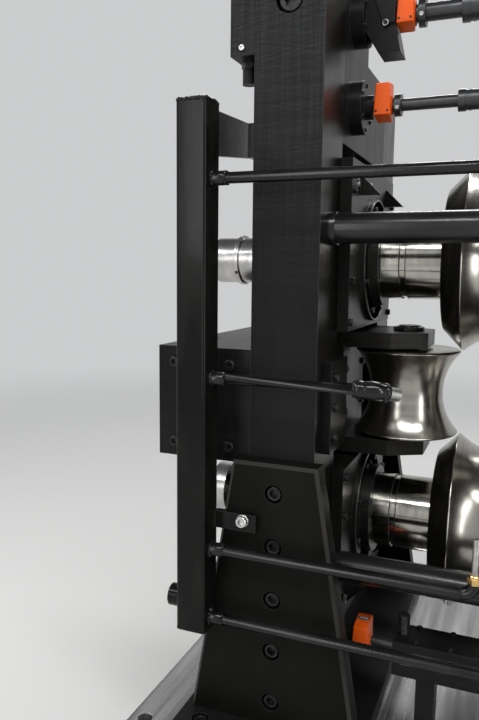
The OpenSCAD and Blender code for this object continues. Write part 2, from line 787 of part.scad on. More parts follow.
module yoke() {
  color([0.13, 0.13, 0.14]) {
    box([-yoke_back, -yoke_half_y, pass_z - arm_out], [-yoke_x, yoke_half_y, pass_z + arm_out]);
    box([-slide_end_x, -slide_half_y, pass_z - slide_half_z],
      [-yoke_back, slide_half_y, pass_z + slide_half_z]);
    bar_x(-side_screw_x, -slide_end_x, side_screw_r, 0, pass_z);
    for (m = [0, 1]) translate([0, 0, pass_z]) mirror([0, 0, m]) difference() {
      translate([0, 0, arm_in]) linear_extrude(arm_t) arm_plan();
      bar_z(0, arm_out + 1, axle_r, -side_x, 0);
    }
  }
}

module side_axle() {
  color([0.45, 0.45, 0.46]) {
    bar_z(pass_z - axle_half, pass_z + axle_half, axle_r, -side_x, 0);
    for (m = [0, 1]) translate([0, 0, pass_z]) mirror([0, 0, m])
      bar_z(arm_out, arm_out + axle_nut_t, axle_nut_r, -side_x, 0);
  }
}

module screw_spindles() {
  color([0.35, 0.35, 0.36]) for (m = [0, 1]) mirror([m, 0, 0]) {
    bar_z(pass_z + chock_out, pass_z + chock_out + cup_t, cup_r, -col_x, 0);
    bar_z(pass_z + chock_out, pass_z + spindle_top, spindle_r, -col_x, 0);
  }
}

module jack_spindles() {
  color([0.35, 0.35, 0.36]) for (m = [0, 1]) mirror([m, 0, 0]) {
    bar_z(pass_z - chock_out - cup_t, pass_z - chock_out, cup_r, -col_x, 0);
    bar_z(pass_z - jack_end, pass_z - chock_out, spindle_r, -col_x, 0);
  }
}

// Adjusting shaft with its coupling tube, clamp collar at x and square wrench ends
module adjusting_shaft(z, r, tube_r, x) {
  color([0.28, 0.28, 0.29]) {
    bar_x(-adj_half, adj_half, r, -adj_y, z);
    bar_x(-tube_half, tube_half, tube_r, -adj_y, z);
    bar_x(x, x + clamp_w, r + clamp_h, -adj_y, z);
    for (s = [-1, 1])
      translate([s * (adj_half + wrench_l / 2), -adj_y, z])
        cube([wrench_l, wrench_s, wrench_s], center = true);
  }
}

module lower_adjusting_shaft() {
  color([0.28, 0.28, 0.29])
    bar_x(-col_in + lowg_shaft_in, col_in - lowg_shaft_in, lowg_r, -lowg_y, pass_z - lowg_z);
}

module lower_gear_unit() {
  zt = pass_z - lowg_top;
  color([0.09, 0.09, 0.09]) {
    difference() {
      box([-lowg_half_x, -lowg_y - lowg_d / 2, zt - lowg_h],
        [lowg_half_x, -lowg_y + lowg_d / 2, zt]);
      bar_x(-lowg_half_x - 1, lowg_half_x + 1, lowg_r + run_c, -lowg_y, pass_z - lowg_z);
    }
    for (s = [-1, 1])
      translate([s * lowg_leg_x - lowg_leg_w / 2, -lowg_y - lowg_leg_d / 2, bed_top - channel_d])
        cube([lowg_leg_w, lowg_leg_d, zt - lowg_h - bed_top + channel_d]);
    bar_z(zt, zt + lowg_stub_h, lowg_stub_r, lowg_stub_r + lowg_stub_in - lowg_half_x, -lowg_y);
    for (m = [0, 1]) mirror([m, 0, 0]) difference() {
      translate([-col_in, -lowg_y - lowg_end_s / 2, pass_z - lowg_z - lowg_end_s / 2])
        cube([col_in - read_c_in, lowg_end_s, lowg_end_s]);
      bar_x(-col_in + 1, -read_c_in + 1, lowg_r + run_c, -lowg_y, pass_z - lowg_z);
    }
  }
}

// One readout with its shaft hole and broken top corners, its shaft at x, y, z
module readout(x, y, z, hole) {
  c = read_chamfer;
  difference() {
    translate([x, y - read_front, z]) rotate([90, 0, 180])
      linear_extrude(read_d)
      polygon([[-read_w / 2, read_axis - read_h], [read_w / 2, read_axis - read_h],
        [read_w / 2, read_axis - c], [read_w / 2 - c, read_axis],
        [c - read_w / 2, read_axis], [-read_w / 2, read_axis - c]]);
    bar_x(x - read_w, x + read_w, hole + read_c, y, z);
  }
}

module position_readouts() {
  color([0.90, 0.30, 0.05]) {
    readout(-read_a_x, -adj_y, pass_z + adj_a_z, adj_a_r);
    readout(-read_b_x, -adj_y, pass_z + adj_b_z, adj_b_r);
    readout(-read_c_x, -lowg_y, pass_z - lowg_z, lowg_r);
  }
}

// Square with true round corners
module round_square(s, r) {
  union() {
    square([s, s - 2 * r], center = true);
    square([s - 2 * r, s], center = true);
    for (a = [-1, 1]) for (b = [-1, 1])
      translate([a * (s / 2 - r), b * (s / 2 - r)]) circle(r = r);
  }
}

module header_post() {
  z0 = pass_z - tube_bot;
  z1 = pass_z + tube_top;
  color([0.06, 0.06, 0.06]) difference() {
    union() {
      translate([-tube_x, -tube_y, z0]) linear_extrude(z1 - z0)
        round_square(tube_s, tube_corner);
      bar_x(-tube_out - inlet_boss_l, -tube_out + tube_wall / 2, inlet_boss_r,
        -tube_y, z0 + inlet_up);
    }
    translate([-tube_x, -tube_y, z0 + tube_floor])
      linear_extrude(z1 - z0 - tube_floor - tube_wall)
      square(tube_s - 2 * tube_wall, center = true);
    bar_x(-tube_out - inlet_boss_l - 1, -tube_x, inlet_r, -tube_y, z0 + inlet_up);
    for (z = [pipe_1_z, pipe_2_z, -pipe_3_z, -pipe_4_z])
      bar_x(-tube_x, -tube_in + 1, pipe_bore_r, -tube_y, pass_z + z);
  }
}

module header_brackets() {
  bt = pass_z + brk_top;
  yf = -front_y + brk_in;
  color([0.07, 0.07, 0.07]) {
    intersection() {
      translate([0, 0, bt - brk_h]) linear_extrude(brk_h + brk_rise)
        polygon([[-tube_x - brk_t / 2, -tube_rear], [-tube_x + brk_t, -tube_rear],
          [-col_out - brk_t, yf], [-col_out, yf], [-col_out, -front_y + brk_foot_l],
          [-col_out - brk_t, -front_y + brk_foot_l], [-col_out - brk_t, yf + brk_t]]);
      translate([-tube_x - tube_s, 0, 0]) rotate([90, 0, 90]) linear_extrude(tube_x)
        polygon([[-tube_rear, bt - brk_h], [-front_y + brk_foot_l, bt - brk_h],
          [-front_y + brk_foot_l, bt], [yf, bt], [-tube_rear, bt + brk_rise]]);
    }
    translate([-tube_in, -foot_y - brk_low_t, pass_z - brk_low_z - brk_low_h / 2])
      cube([brk_low_l, brk_low_t, brk_low_h]);
  }
}

// Straight hollow pipe along the roll shafts with its fitting at the header
module pipe_run(x1, z) {
  difference() {
    union() {
      bar_x(-tube_in, x1, pipe_r, -tube_y, z);
      bar_x(-tube_in, -tube_in + fit_l, fit_r, -tube_y, z);
    }
    bar_x(-tube_in - 1, x1 + 1, pipe_bore_r, -tube_y, z);
  }
}

// Elbow and stub that turn a pipe at x1, z, by the angle a about its run
module pipe_end(x1, z, a, l) {
  translate([x1, -tube_y, z]) rotate([a, 0, 0]) {
    translate([0, 0, elbow_r]) rotate([90, 0, 0]) rotate([0, 0, -90])
      rotate_extrude(angle = 90) translate([elbow_r, 0]) difference() {
        circle(r = pipe_r);
        circle(r = pipe_bore_r);
      }
    if (l > 0) difference() {
      bar_z(elbow_r, elbow_r + l, pipe_r, elbow_r, 0);
      bar_z(elbow_r - 1, elbow_r + l + 1, pipe_bore_r, elbow_r, 0);
    }
  }
}

// Pipe with an upright corner fitting and a nipple turned toward the side roll
module pipe_with_nipple(x1, z) {
  difference() {
    union() {
      bar_x(-tube_in, x1, pipe_r, -tube_y, z);
      bar_x(-tube_in, -tube_in + fit_l, fit_r, -tube_y, z);
      bar_z(z - corner_h / 2, z + corner_h / 2, corner_r, x1, -tube_y);
      translate([x1, -tube_y, z]) rotate([0, 90, nipple_a]) cylinder(r = nipple_r, h = nipple_l);
    }
    bar_x(-tube_in - 1, x1, pipe_bore_r, -tube_y, z);
    translate([x1, -tube_y, z]) rotate([0, 90, nipple_a])
      cylinder(r = nipple_bore_r, h = nipple_l + 1);
  }
}

module coolant_pipes() {
  $fn = 36;
  color([0.05, 0.05, 0.05]) {
    pipe_run(pipe_1_x, pass_z + pipe_1_z);
    pipe_end(pipe_1_x, pass_z + pipe_1_z, 180, stub_l);
    pipe_with_nipple(-pipe_2_x, pass_z + pipe_2_z);
    pipe_run(-pipe_3_x - elbow_r, pass_z - pipe_3_z);
    pipe_end(-pipe_3_x - elbow_r, pass_z - pipe_3_z, 0, 0);
    pipe_run(pipe_4_x, pass_z - pipe_4_z);
    pipe_end(pipe_4_x, pass_z - pipe_4_z, 0, stub_l);
  }
}

// Brass nut and thin tube that spray the bottom roll
module brass_riser() {
  z = pass_z - pipe_3_z + elbow_r;
  color([0.72, 0.55, 0.22]) difference() {
    union() {
      bar_z(z, z + nut_h, nut_r, -pipe_3_x, -tube_y);
      bar_z(z, z + nut_h + riser_l, riser_r, -pipe_3_x, -tube_y);
    }
    bar_z(z - 1, z + nut_h + riser_l + 1, riser_bore_r, -pipe_3_x, -tube_y);
  }
}

bed_plate();
sole_plates();
column_with_box();  // column_drive_entry
flip(0, 1) column(block_top);  // column_drive_exit
flip(1) column(col_top);  // column_operator_entry
flip(1, 1) column(block_top);  // column_operator_exit
foot();  // foot_drive_entry
flip(0, 1) foot();  // foot_drive_exit
flip(1) foot();  // foot_operator_entry
flip(1, 1) foot();  // foot_operator_exit
crosshead_with_plates();  // crosshead_drive
flip(1) crosshead();  // crosshead_operator
base_block();  // base_block_drive
flip(1) base_block();  // base_block_operator
side_housing();  // side_housing_drive
flip(1) side_housing();  // side_housing_operator
side_guides();
tie_bars();
chock(true);  // top_chock_drive
flip(1) chock(false);  // top_chock_operator
under() chock(true);  // bottom_chock_drive
under() flip(1) chock(false);  // bottom_chock_operator
top_shaft();
bottom_shaft();
top_roll();
bottom_roll();
spacers(pass_z + shaft_h);  // top_spacers
spacers(pass_z - shaft_h);  // bottom_spacers
side_roll();  // side_roll_drive
flip(1) side_roll();  // side_roll_operator
yoke();  // yoke_drive
flip(1) yoke();  // yoke_operator
side_axle();  // side_axle_drive
flip(1) side_axle();  // side_axle_operator
screw_spindles();
jack_spindles();
adjusting_shaft(pass_z + adj_a_z, adj_a_r, tube_a_r, read_w / 2 - read_a_x + clamp_gap);  // upper_adjusting_shaft
adjusting_shaft(pass_z + adj_b_z, adj_b_r, tube_b_r, read_w / 2 - read_b_x + clamp_gap);  // top_adjusting_shaft
lower_adjusting_shaft();
lower_gear_unit();
position_readouts();
header_post();
header_brackets();
coolant_pipes();
brass_riser();
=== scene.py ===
import math
import random
from itertools import product

import bpy
from mathutils import Matrix, Vector


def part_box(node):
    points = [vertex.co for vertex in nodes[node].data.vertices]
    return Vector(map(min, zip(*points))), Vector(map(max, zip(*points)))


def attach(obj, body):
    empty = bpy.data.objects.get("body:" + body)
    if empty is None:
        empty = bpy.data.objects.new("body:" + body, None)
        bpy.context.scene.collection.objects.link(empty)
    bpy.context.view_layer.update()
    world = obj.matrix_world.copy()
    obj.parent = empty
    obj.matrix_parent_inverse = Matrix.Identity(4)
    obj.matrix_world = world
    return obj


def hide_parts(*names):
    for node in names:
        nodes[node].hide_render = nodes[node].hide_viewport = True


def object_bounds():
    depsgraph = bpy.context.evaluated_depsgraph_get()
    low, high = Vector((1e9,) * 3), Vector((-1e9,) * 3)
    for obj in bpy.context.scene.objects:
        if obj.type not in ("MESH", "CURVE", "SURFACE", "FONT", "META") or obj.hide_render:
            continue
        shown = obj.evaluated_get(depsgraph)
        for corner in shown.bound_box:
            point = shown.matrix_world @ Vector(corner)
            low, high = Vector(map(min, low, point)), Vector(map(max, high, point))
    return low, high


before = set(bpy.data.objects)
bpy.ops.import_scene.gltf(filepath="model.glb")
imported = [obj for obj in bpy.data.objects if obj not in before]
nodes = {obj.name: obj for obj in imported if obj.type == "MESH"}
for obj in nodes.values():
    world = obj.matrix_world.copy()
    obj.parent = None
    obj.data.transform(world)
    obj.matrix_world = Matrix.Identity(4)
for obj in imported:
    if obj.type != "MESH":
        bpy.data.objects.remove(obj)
cad_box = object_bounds()
both = (-1, 1)
# height of the pass, and how far from its middle the columns, crossheads and feet are centred
pass_z, line_x = 0.6, 0.325


# Studio
# A pale floor under the stand, an even pale room, and long soft lamps overhead and beside the
# camera. The camera stands in front of the stand, between its window and the drive side.
def joined_by(operation, swapped=False):
    """An operator that joins two values by a Math node."""
    def join(self, other):
        return self.math(operation, *((other, self) if swapped else (self, other)))

    return join


class Value:
    """A number or a vector inside one finish. Arithmetic on numbers adds Math nodes."""

    def __init__(self, finish, socket):
        self.finish = finish
        self.socket = socket

    def math(self, operation, *values):
        return self.finish.node("ShaderNodeMath", {"operation": operation}, dict(enumerate(values)))

    __add__, __radd__ = joined_by("ADD"), joined_by("ADD", True)
    __sub__, __rsub__ = joined_by("SUBTRACT"), joined_by("SUBTRACT", True)
    __mul__, __truediv__ = joined_by("MULTIPLY"), joined_by("DIVIDE")
    __pow__, __gt__ = joined_by("POWER"), joined_by("GREATER_THAN")

    def __abs__(self):
        return self.math("ABSOLUTE", self)

    def clamp(self):
        return self.finish.node("ShaderNodeClamp", {}, {"Value": self})


class Finish:
    """The nodes of one material or of the room."""

    def __init__(self, name, tree=None):
        if tree is None:
            self.material = bpy.data.materials.new(name)
            self.material.use_nodes = True
            tree = self.material.node_tree
        self.tree = tree
        tree.nodes.clear()

    def node(self, kind, settings, inputs, output=0):
        made = self.tree.nodes.new(kind)
        for key, value in settings.items():
            setattr(made, key, value)
        for key, value in inputs.items():
            if isinstance(value, Value):
                self.tree.links.new(value.socket, made.inputs[key])
            else:
                made.inputs[key].default_value = value
        return Value(self, made.outputs[output]) if made.outputs else None

    def mix(self, factor, low, high):
        """Colour between low and high."""
        low, high = (c if isinstance(c, Value) else (*c, 1.0) for c in (low, high))
        return self.node("ShaderNodeMix", {"data_type": "RGBA"}, {0: factor, 6: low, 7: high}, 2)

    def split(self, vector):
        """The three numbers of a vector."""
        return [self.node("ShaderNodeSeparateXYZ", {}, {"Vector": vector}, i) for i in range(3)]

    def eased(self, value, low, high):
        """0 under low and 1 over high, with a smooth step between."""
        return self.node(
            "ShaderNodeMapRange",
            {"interpolation_type": "SMOOTHSTEP"},
            {"Value": value, "From Min": low, "From Max": high},
        )


world = bpy.data.worlds.new("room")
bpy.context.scene.world = world
world.use_nodes = True
room = Finish("room", world.node_tree)
height = abs(room.split(room.node("ShaderNodeTexCoord", {}, {}, "Generated"))[2])
horizon, overhead = (0.60, 0.605, 0.61), (0.10, 0.104, 0.11)
air = room.mix(room.eased(height, 0.34, 0.72), horizon, overhead)
light = room.node("ShaderNodeBackground", {}, {"Color": air, "Strength": 1.0})
room.node("ShaderNodeOutputWorld", {}, {"Surface": light})

floor_half, fade_start, fade_end = 9.0, 0.9, 5.0
floor_mesh = bpy.data.meshes.new("floor")
floor_mesh.from_pydata(
    [(-floor_half, -floor_half, 0), (floor_half, -floor_half, 0),
     (floor_half, floor_half, 0), (-floor_half, floor_half, 0)],
    [], [(0, 1, 2, 3)],
)
floor = bpy.data.objects.new("floor", floor_mesh)
bpy.context.scene.collection.objects.link(floor)
pale = Finish("pale floor")
pale_shader = pale.node(
    "ShaderNodeBsdfPrincipled", {}, {"Base Color": (0.62, 0.62, 0.61, 1), "Roughness": 0.7}
)
# far out the floor turns into the even tone of the room, so no horizon shows
ground_spot = pale.node("ShaderNodeTexCoord", {}, {}, "Object")
away = pale.node("ShaderNodeVectorMath", {"operation": "LENGTH"}, {0: ground_spot}, "Value")
fade = pale.eased(away, fade_start, fade_end)
glow = pale.node("ShaderNodeEmission", {}, {"Color": (*horizon, 1.0), "Strength": 1.0})
pale_floor = pale.node("ShaderNodeMixShader", {}, {0: fade, 1: pale_shader, 2: glow})
pale.node("ShaderNodeOutputMaterial", {}, {"Surface": pale_floor})
floor_mesh.materials.append(pale.material)

# name, place, aims at, width, depth, power
lamps = [
    ("lamp_over_front", (0.7, -1.9, 2.9), (-0.1, 0.0, 0.7), 2.8, 0.3, 62),
    ("lamp_over_left", (-2.3, -0.9, 2.6), (-0.3, 0.0, 0.7), 2.6, 0.3, 42),
    ("lamp_over_back", (0.4, 1.9, 2.9), (0.0, 0.0, 0.6), 3.0, 0.4, 66),
    ("lamp_left_strip", (-1.15, -3.0, 1.25), (-0.15, 0.0, 0.6), 0.45, 2.4, 15),
    ("lamp_header_strip", (-1.64, -3.0, 1.36), (-0.42, -0.36, 0.9), 0.26, 0.95, 3.2),
    ("lamp_right_strip", (2.3, -1.65, 1.2), (-0.1, 0.0, 0.6), 0.4, 2.2, 22),
]
for name, place, target, width, depth, power in lamps:
    lamp = bpy.data.lights.new(name, "AREA")
    lamp.shape = "RECTANGLE"
    lamp.size, lamp.size_y, lamp.energy = width, depth, power
    holder = bpy.data.objects.new(name, lamp)
    aim = (Vector(target) - Vector(place)).to_track_quat("-Z", "Y").to_matrix().to_4x4()
    holder.matrix_world = Matrix.Translation(place) @ aim
    bpy.context.scene.collection.objects.link(holder)

# place, turns and lens of the camera, from a fit to points measured in the photo
cam_place = Vector((0.01725, -1.30783, 0.82016))
yaw, pitch, roll = 0.3903, 0.1304, 0.0107
lens, sensor = 34.112, 36.0
ahead = Vector((
    -math.sin(yaw) * math.cos(pitch), math.cos(yaw) * math.cos(pitch), -math.sin(pitch)
))
level = Vector((math.cos(yaw), math.sin(yaw), 0.0))
upward = level.cross(ahead)
right = level * math.cos(roll) + upward * math.sin(roll)
top = upward * math.cos(roll) - level * math.sin(roll)
camera_data = bpy.data.cameras.new("camera")
camera_data.sensor_fit = "VERTICAL"
camera_data.sensor_height = sensor
camera_data.lens = lens
camera_data.clip_start = 0.05
camera = bpy.data.objects.new("camera", camera_data)
camera.matrix_world = (
    Matrix.Translation(cam_place) @ Matrix((right, top, -ahead)).transposed().to_4x4()
)
bpy.context.scene.collection.objects.link(camera)
bpy.context.scene.camera = camera
bpy.context.scene.view_settings.view_transform = "Standard"


# Bed plate
# One thick rolled steel plate with its top milled bright, a shallow scale channel under the
# pass and a ledge along each outer side for the floor bolts. The cutter ran along the mill.
def place_of(finish):
    """Where a point of the piece is, in metres, in the stand's own frame."""
    return finish.node("ShaderNodeTexCoord", {}, {}, "Object")


def grain(finish, waves, detail=3.0, vector=None):
    """Noise from 0 to 1, stretched by three numbers, in waves a metre."""
    vector = vector or place_of(finish)
    lane = finish.node("ShaderNodeVectorMath", {"operation": "MULTIPLY"}, {0: vector, 1: waves})
    return finish.node(
        "ShaderNodeTexNoise",
        {"noise_dimensions": "3D"},
        {"Vector": lane, "Scale": 1.0, "Detail": detail},
    )


def spread(value, low, high):
    """Stretches the middle of a noise so that low and high become 0 and 1."""
    return ((value - low) / (high - low)).clamp()


def rounded(finish, radius):
    """Normal with sharp edges rounded off."""
    return finish.node("ShaderNodeBevel", {"samples": 4}, {"Radius": radius})


def edge_wear_and_highlight(finish, soft):
    """How close a point is to an edge that the rounded normal soft softens; finishes lighten their
    colour there, partly as edge wear and partly as a painted highlight.
    """
    flat = finish.node("ShaderNodeNewGeometry", {}, {}, "Normal")
    same = finish.node("ShaderNodeVectorMath", {"operation": "DOT_PRODUCT"}, {0: soft, 1: flat}, 1)
    return ((1.0 - same) * 6.0).clamp()


def bumped(finish, amount, depth, normal=None):
    inputs = {"Height": amount, "Distance": depth, "Strength": 1.0}
    if normal is not None:
        inputs["Normal"] = normal
    return finish.node("ShaderNodeBump", {}, inputs)


def shaded(finish, inputs):
    """Closes a finish with its Principled shader."""
    shader = finish.node("ShaderNodeBsdfPrincipled", {}, inputs)
    finish.node("ShaderNodeOutputMaterial", {}, {"Surface": shader})
    return finish.material


def wear(finish_material, *names):
    """Puts a finish on CAD pieces."""
    for name in names:
        for slot in nodes[name].material_slots:
            slot.material = finish_material


milled = Finish("milled_bed_steel")
cutter = grain(milled, (260, 9, 40), 4)
wide = grain(milled, (34, 1.6, 5), 2)
rub = grain(milled, (7, 5, 7), 4)
tone = milled.mix(spread(wide, 0.32, 0.68), (0.25, 0.25, 0.245), (0.72, 0.72, 0.71))
milled_steel = shaded(milled, {
    "Base Color": milled.mix(spread(rub, 0.35, 0.75) * 0.35, tone, (0.20, 0.195, 0.185)),
    "Metallic": 0.95,
    "Roughness": 0.13 + cutter * 0.16 + spread(wide, 0.3, 0.7) * 0.08,
    "Normal": bumped(milled, cutter * 0.06 + wide, 0.0018, rounded(milled, 0.0012)),
})
wear(milled_steel, "bed_plate")


# Sole plates and their screws
# Black oxided flat bars under the columns, each held down to the bed by four socket head cap
# screws sunk in counterbores at its ends.
def black_steel(name, dark, light, rough, hatch, shine):
    """Blackened machined steel: crossed cutter marks, rubbed tones and rounded edges, lightened
    along the edges partly as wear and partly as a painted highlight.
    """
    made = Finish(name)
    marks = (grain(made, (16, 16, 330)) + grain(made, (330, 330, 14))) * 0.5
    patch = grain(made, (6, 6, 4), 4)
    haze = grain(made, (38, 38, 9))
    soft = rounded(made, 0.0009)
    tone = made.mix(spread(patch, 0.3, 0.75), dark, light)
    tone = made.mix(spread(marks, 0.42, 0.7) * hatch, tone, tuple(2.6 * c for c in light))
    # the edges turn toward this lighter tone: partly worn bare steel, partly a painted highlight
    edge_wear_and_highlight_tone = tuple(0.05 + 3.0 * c for c in light)
    return shaded(made, {
        "Base Color": made.mix(edge_wear_and_highlight(made, soft) * 0.5, tone, edge_wear_and_highlight_tone),
        "Metallic": shine,
        "Specular IOR Level": 0.12,
        "Roughness": (rough - 0.07) + haze * 0.14 + (marks - 0.5) * 0.12,
        "Normal": bumped(made, marks + haze * 0.4, 0.00005 + 0.00012 * hatch, soft),
    })


sole_finish = black_steel(
    "sole_black_oxide", (0.005, 0.005, 0.005), (0.010, 0.010, 0.0095), 0.42, 0.1, 0.1
)
wear(sole_finish, "sole_plates")


def circle(radius, high, sides):
    turns = [2 * math.pi * i / sides for i in range(sides)]
    return [(radius * math.cos(turn), radius * math.sin(turn), high) for turn in turns]


def skin(rings, joined=False):
    """Mesh over rings of equal count, its ends closed flat or joined to each other."""
    sides, count = len(rings[0]), len(rings)
    verts, faces = [at for ring in rings for at in ring], []
    for j in range(count if joined else count - 1):
        n = (j + 1) % count
        for i in range(sides):
            k = (i + 1) % sides
            faces.append((j * sides + i, j * sides + k, n * sides + k, n * sides + i))
    if not joined:
        faces.append(tuple(reversed(range(sides))))
        faces.append(tuple((count - 1) * sides + i for i in range(sides)))
    return verts, faces


def turned(profile, sides=32, joined=False):
    """Mesh of a profile of (radius, height) pairs turned about the upright axis."""
    return skin([circle(radius, high, sides) for radius, high in profile], joined)


def socket_screw(head_r, head_h, across):
    """Cap screw head standing on z = 0, with its hexagon socket open at the top."""
    sides, chamfer, deep = 36, head_r * 0.09, head_h * 0.55
    rings = [
        circle(radius, high, sides)
        for radius, high in ((head_r, 0), (head_r, head_h - chamfer), (head_r - chamfer, head_h))
    ]
    for wide, high in ((across * 1.06, head_h), (across, head_h - chamfer * 0.6),
                       (across, head_h - deep)):
        ring = []
        for i in range(sides):
            turn = 2 * math.pi * i / sides
            part = (turn + math.pi / 6) % (math.pi / 3) - math.pi / 6
            radius = wide / 2 / math.cos(part)
            ring.append((radius * math.cos(turn), radius * math.sin(turn), high))
        rings.append(ring)
    return skin(rings)


def placed(mesh, at, axis=(0, 0, 1), spin=0.0):
    """A mesh with its upright axis turned to axis and its origin moved to at."""
    turn = Vector(axis).to_track_quat("Z", "Y").to_matrix().to_4x4()
    move = Matrix.Translation(at) @ turn @ Matrix.Rotation(spin, 4, "Z")
    return [tuple(move @ Vector(v)) for v in mesh[0]], mesh[1]


def piece(name, meshes, material, body="stand_frame", sharp=32):
    """One object from several meshes, riding on a body, with corners over sharp degrees."""
    verts, faces = [], []
    for part_verts, part_faces in meshes:
        base = len(verts)
        verts.extend(part_verts)
        faces.extend(tuple(base + i for i in face) for face in part_faces)
    mesh = bpy.data.meshes.new(name)
    mesh.from_pydata(verts, [], faces)
    mesh.validate()
    mesh.shade_smooth()
    mesh.set_sharp_from_angle(angle=math.radians(sharp))
    mesh.materials.append(material)
    made = bpy.data.objects.new(name, mesh)
    bpy.context.scene.collection.objects.link(made)
    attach(made, body)
    return made


screw = Finish("black_screw_steel")
oil = grain(screw, (160, 160, 160))
soft = rounded(screw, 0.0004)
tone = screw.mix(spread(oil, 0.35, 0.7), (0.009, 0.009, 0.0095), (0.028, 0.028, 0.028))
# the head edges are lightened, partly as wear and partly as a painted highlight
screw_black = shaded(screw, {
    "Base Color": screw.mix(edge_wear_and_highlight(screw, soft) * 0.5, tone, (0.16, 0.16, 0.155)),
    "Metallic": 0.5,
    "Specular IOR Level": 0.4,
    "Roughness": 0.26 + oil * 0.14,
    "Normal": soft,
})
sole_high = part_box("sole_plates")[1]
sole_screw = socket_screw(0.0105, 0.0122, 0.012)
screw_in_x, screw_in_y, screw_sunk = 0.112, 0.026, 0.014
rng = random.Random(7)
heads = []
for sx, dx, sy in product(both, (-screw_in_x, screw_in_x), both):
    at = (sx * line_x + dx, sy * (sole_high.y - screw_in_y), sole_high.z - screw_sunk)
    heads.append(placed(sole_screw, at, spin=rng.uniform(0, 1)))
piece("sole_plate_screws", heads, screw_black)


# Columns
# Four upright bars of blackened steel plate, planed on the faces toward the mill line, where the
# cutter left a fine crossed weave, and ground brighter on the sides that the chocks run on.
column = Finish("column_black_steel")
facing = column.node("ShaderNodeNewGeometry", {}, {}, "Normal")
side_on = abs(column.split(facing)[0]) > 0.7
level_marks = grain(column, (9, 9, 360))
upright_marks = grain(column, (360, 60, 7))
across, _, rise = column.split(place_of(column))
sweeps = []
for reach_x, reach_z in ((0.02, 0.45), (0.62, 0.30)):
    arc = ((across + reach_x) ** 2 + (rise + reach_z) ** 2) ** 0.5
    sweeps.append(column.node(
        "ShaderNodeTexNoise",
        {"noise_dimensions": "1D"},
        {"W": arc * 300, "Scale": 1.0, "Detail": 3.0},
    ))
patch = grain(column, (7, 7, 3), 4)
cloud = grain(column, (30, 30, 13))
weave = level_marks * 0.28 + upright_marks * 0.34 + sweeps[0] * 0.22 + sweeps[1] * 0.16
# the weave is lightened a little everywhere as cutter marks, and much more toward the top as a
# painted highlight
weave_highlight_toward_top = ((rise - 0.72) / 0.55).clamp()
face_tone = column.mix(
    spread(patch, 0.3, 0.72), (0.0055, 0.0055, 0.0054), (0.011, 0.011, 0.0106)
)
face_tone = column.mix(
    spread(weave, 0.42, 0.68) * (0.12 + weave_highlight_toward_top * 0.5), face_tone, (0.046, 0.048, 0.050)
)
side_marks = (
    grain(column, (20, 300, 9), 2) * 0.6 + grain(column, (20, 12, 300), 2) * 0.4
)
side_tone = column.mix(
    spread(side_marks, 0.3, 0.75), (0.017, 0.0162, 0.0145), (0.030, 0.0285, 0.0255)
)
soft = rounded(column, 0.0011)
tone = column.mix(side_on, face_tone, side_tone)
# the edges are lightened, partly as wear and partly as a painted highlight
column_black = shaded(column, {
    "Base Color": column.mix(edge_wear_and_highlight(column, soft) * 0.6, tone, (0.12, 0.115, 0.105)),
    "Metallic": 0.15 + side_on * 0.7,
    "Specular IOR Level": 0.1,
    "Roughness": 0.46 + (weave - 0.5) * 0.2 + (cloud - 0.5) * 0.14 - side_on * 0.14,
    "Normal": bumped(column, weave + cloud * 0.3, 0.00004, soft),
})
corners = [f"{side}_{end}" for side in ("drive", "operator") for end in ("entry", "exit")]
wear(column_black, *(f"column_{corner}" for corner in corners))

column_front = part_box("column_operator_entry")[0].y
bolt_z, bolt_sunk, washer_sunk = pass_z + 0.620, 0.023, 0.026
bolt = socket_screw(0.018, 0.019, 0.0185)
washer = turned([(0.0212, 0), (0.0212, 0.002), (0.0202, 0.003), (0.0108, 0.003)])
heads = []
for sx in both:
    x = sx * line_x
    heads.append(placed(washer, (x, column_front + washer_sunk, bolt_z), (0, -1, 0)))
    heads.append(placed(bolt, (x, column_front + bolt_sunk, bolt_z), (0, -1, 0), 0.4))
piece("crosshead_bolts", heads, screw_black)


# Switch box
# Cast box for the limit switch wires on the outer side of the drive side column. A small bright
# screw holds its lid, and a gland nut closes the entry underneath.
def speckled(name, waves, detail, span, tones, rough, metallic=0.0, edge=None, lump=None):
    """A finish with one speckle in its tone and its roughness, given as (least, swing)."""
    made = Finish(name)
    speckle = grain(made, waves, detail)
    inputs = {
        "Base Color": made.mix(spread(speckle, *span), *tones),
        "Metallic": metallic,
        "Roughness": rough[0] + speckle * rough[1],
    }
    if edge:
        inputs["Normal"] = rounded(made, edge)
    if lump:
        inputs["Normal"] = bumped(made, speckle, lump)
    return shaded(made, inputs)


bright_zinc = speckled(
    "bright_zinc_steel", (300, 300, 300), 3, (0.3, 0.7), ((0.46, 0.46, 0.45), (0.66, 0.66, 0.64)),
    (0.2, 0.18), 0.95, edge=0.0004,
)
box_x, box_front, box_back, box_foot = -0.400, -0.295, -0.233, pass_z + 0.546
lid_screw = placed(
    socket_screw(0.0044, 0.0036, 0.0042), (-0.4007, box_front, box_foot + 0.0114), (0, -1, 0), 0.3
)
piece("switch_box_screw", [lid_screw], bright_zinc)
gland = placed(
    turned([(0.0112, 0), (0.0128, 0.001), (0.0128, 0.009), (0.0112, 0.010)], 6),
    (box_x, (box_front + box_back) / 2, box_foot - 0.0125), spin=0.3,
)
piece("switch_box_gland_nuts", [gland], screw_black)


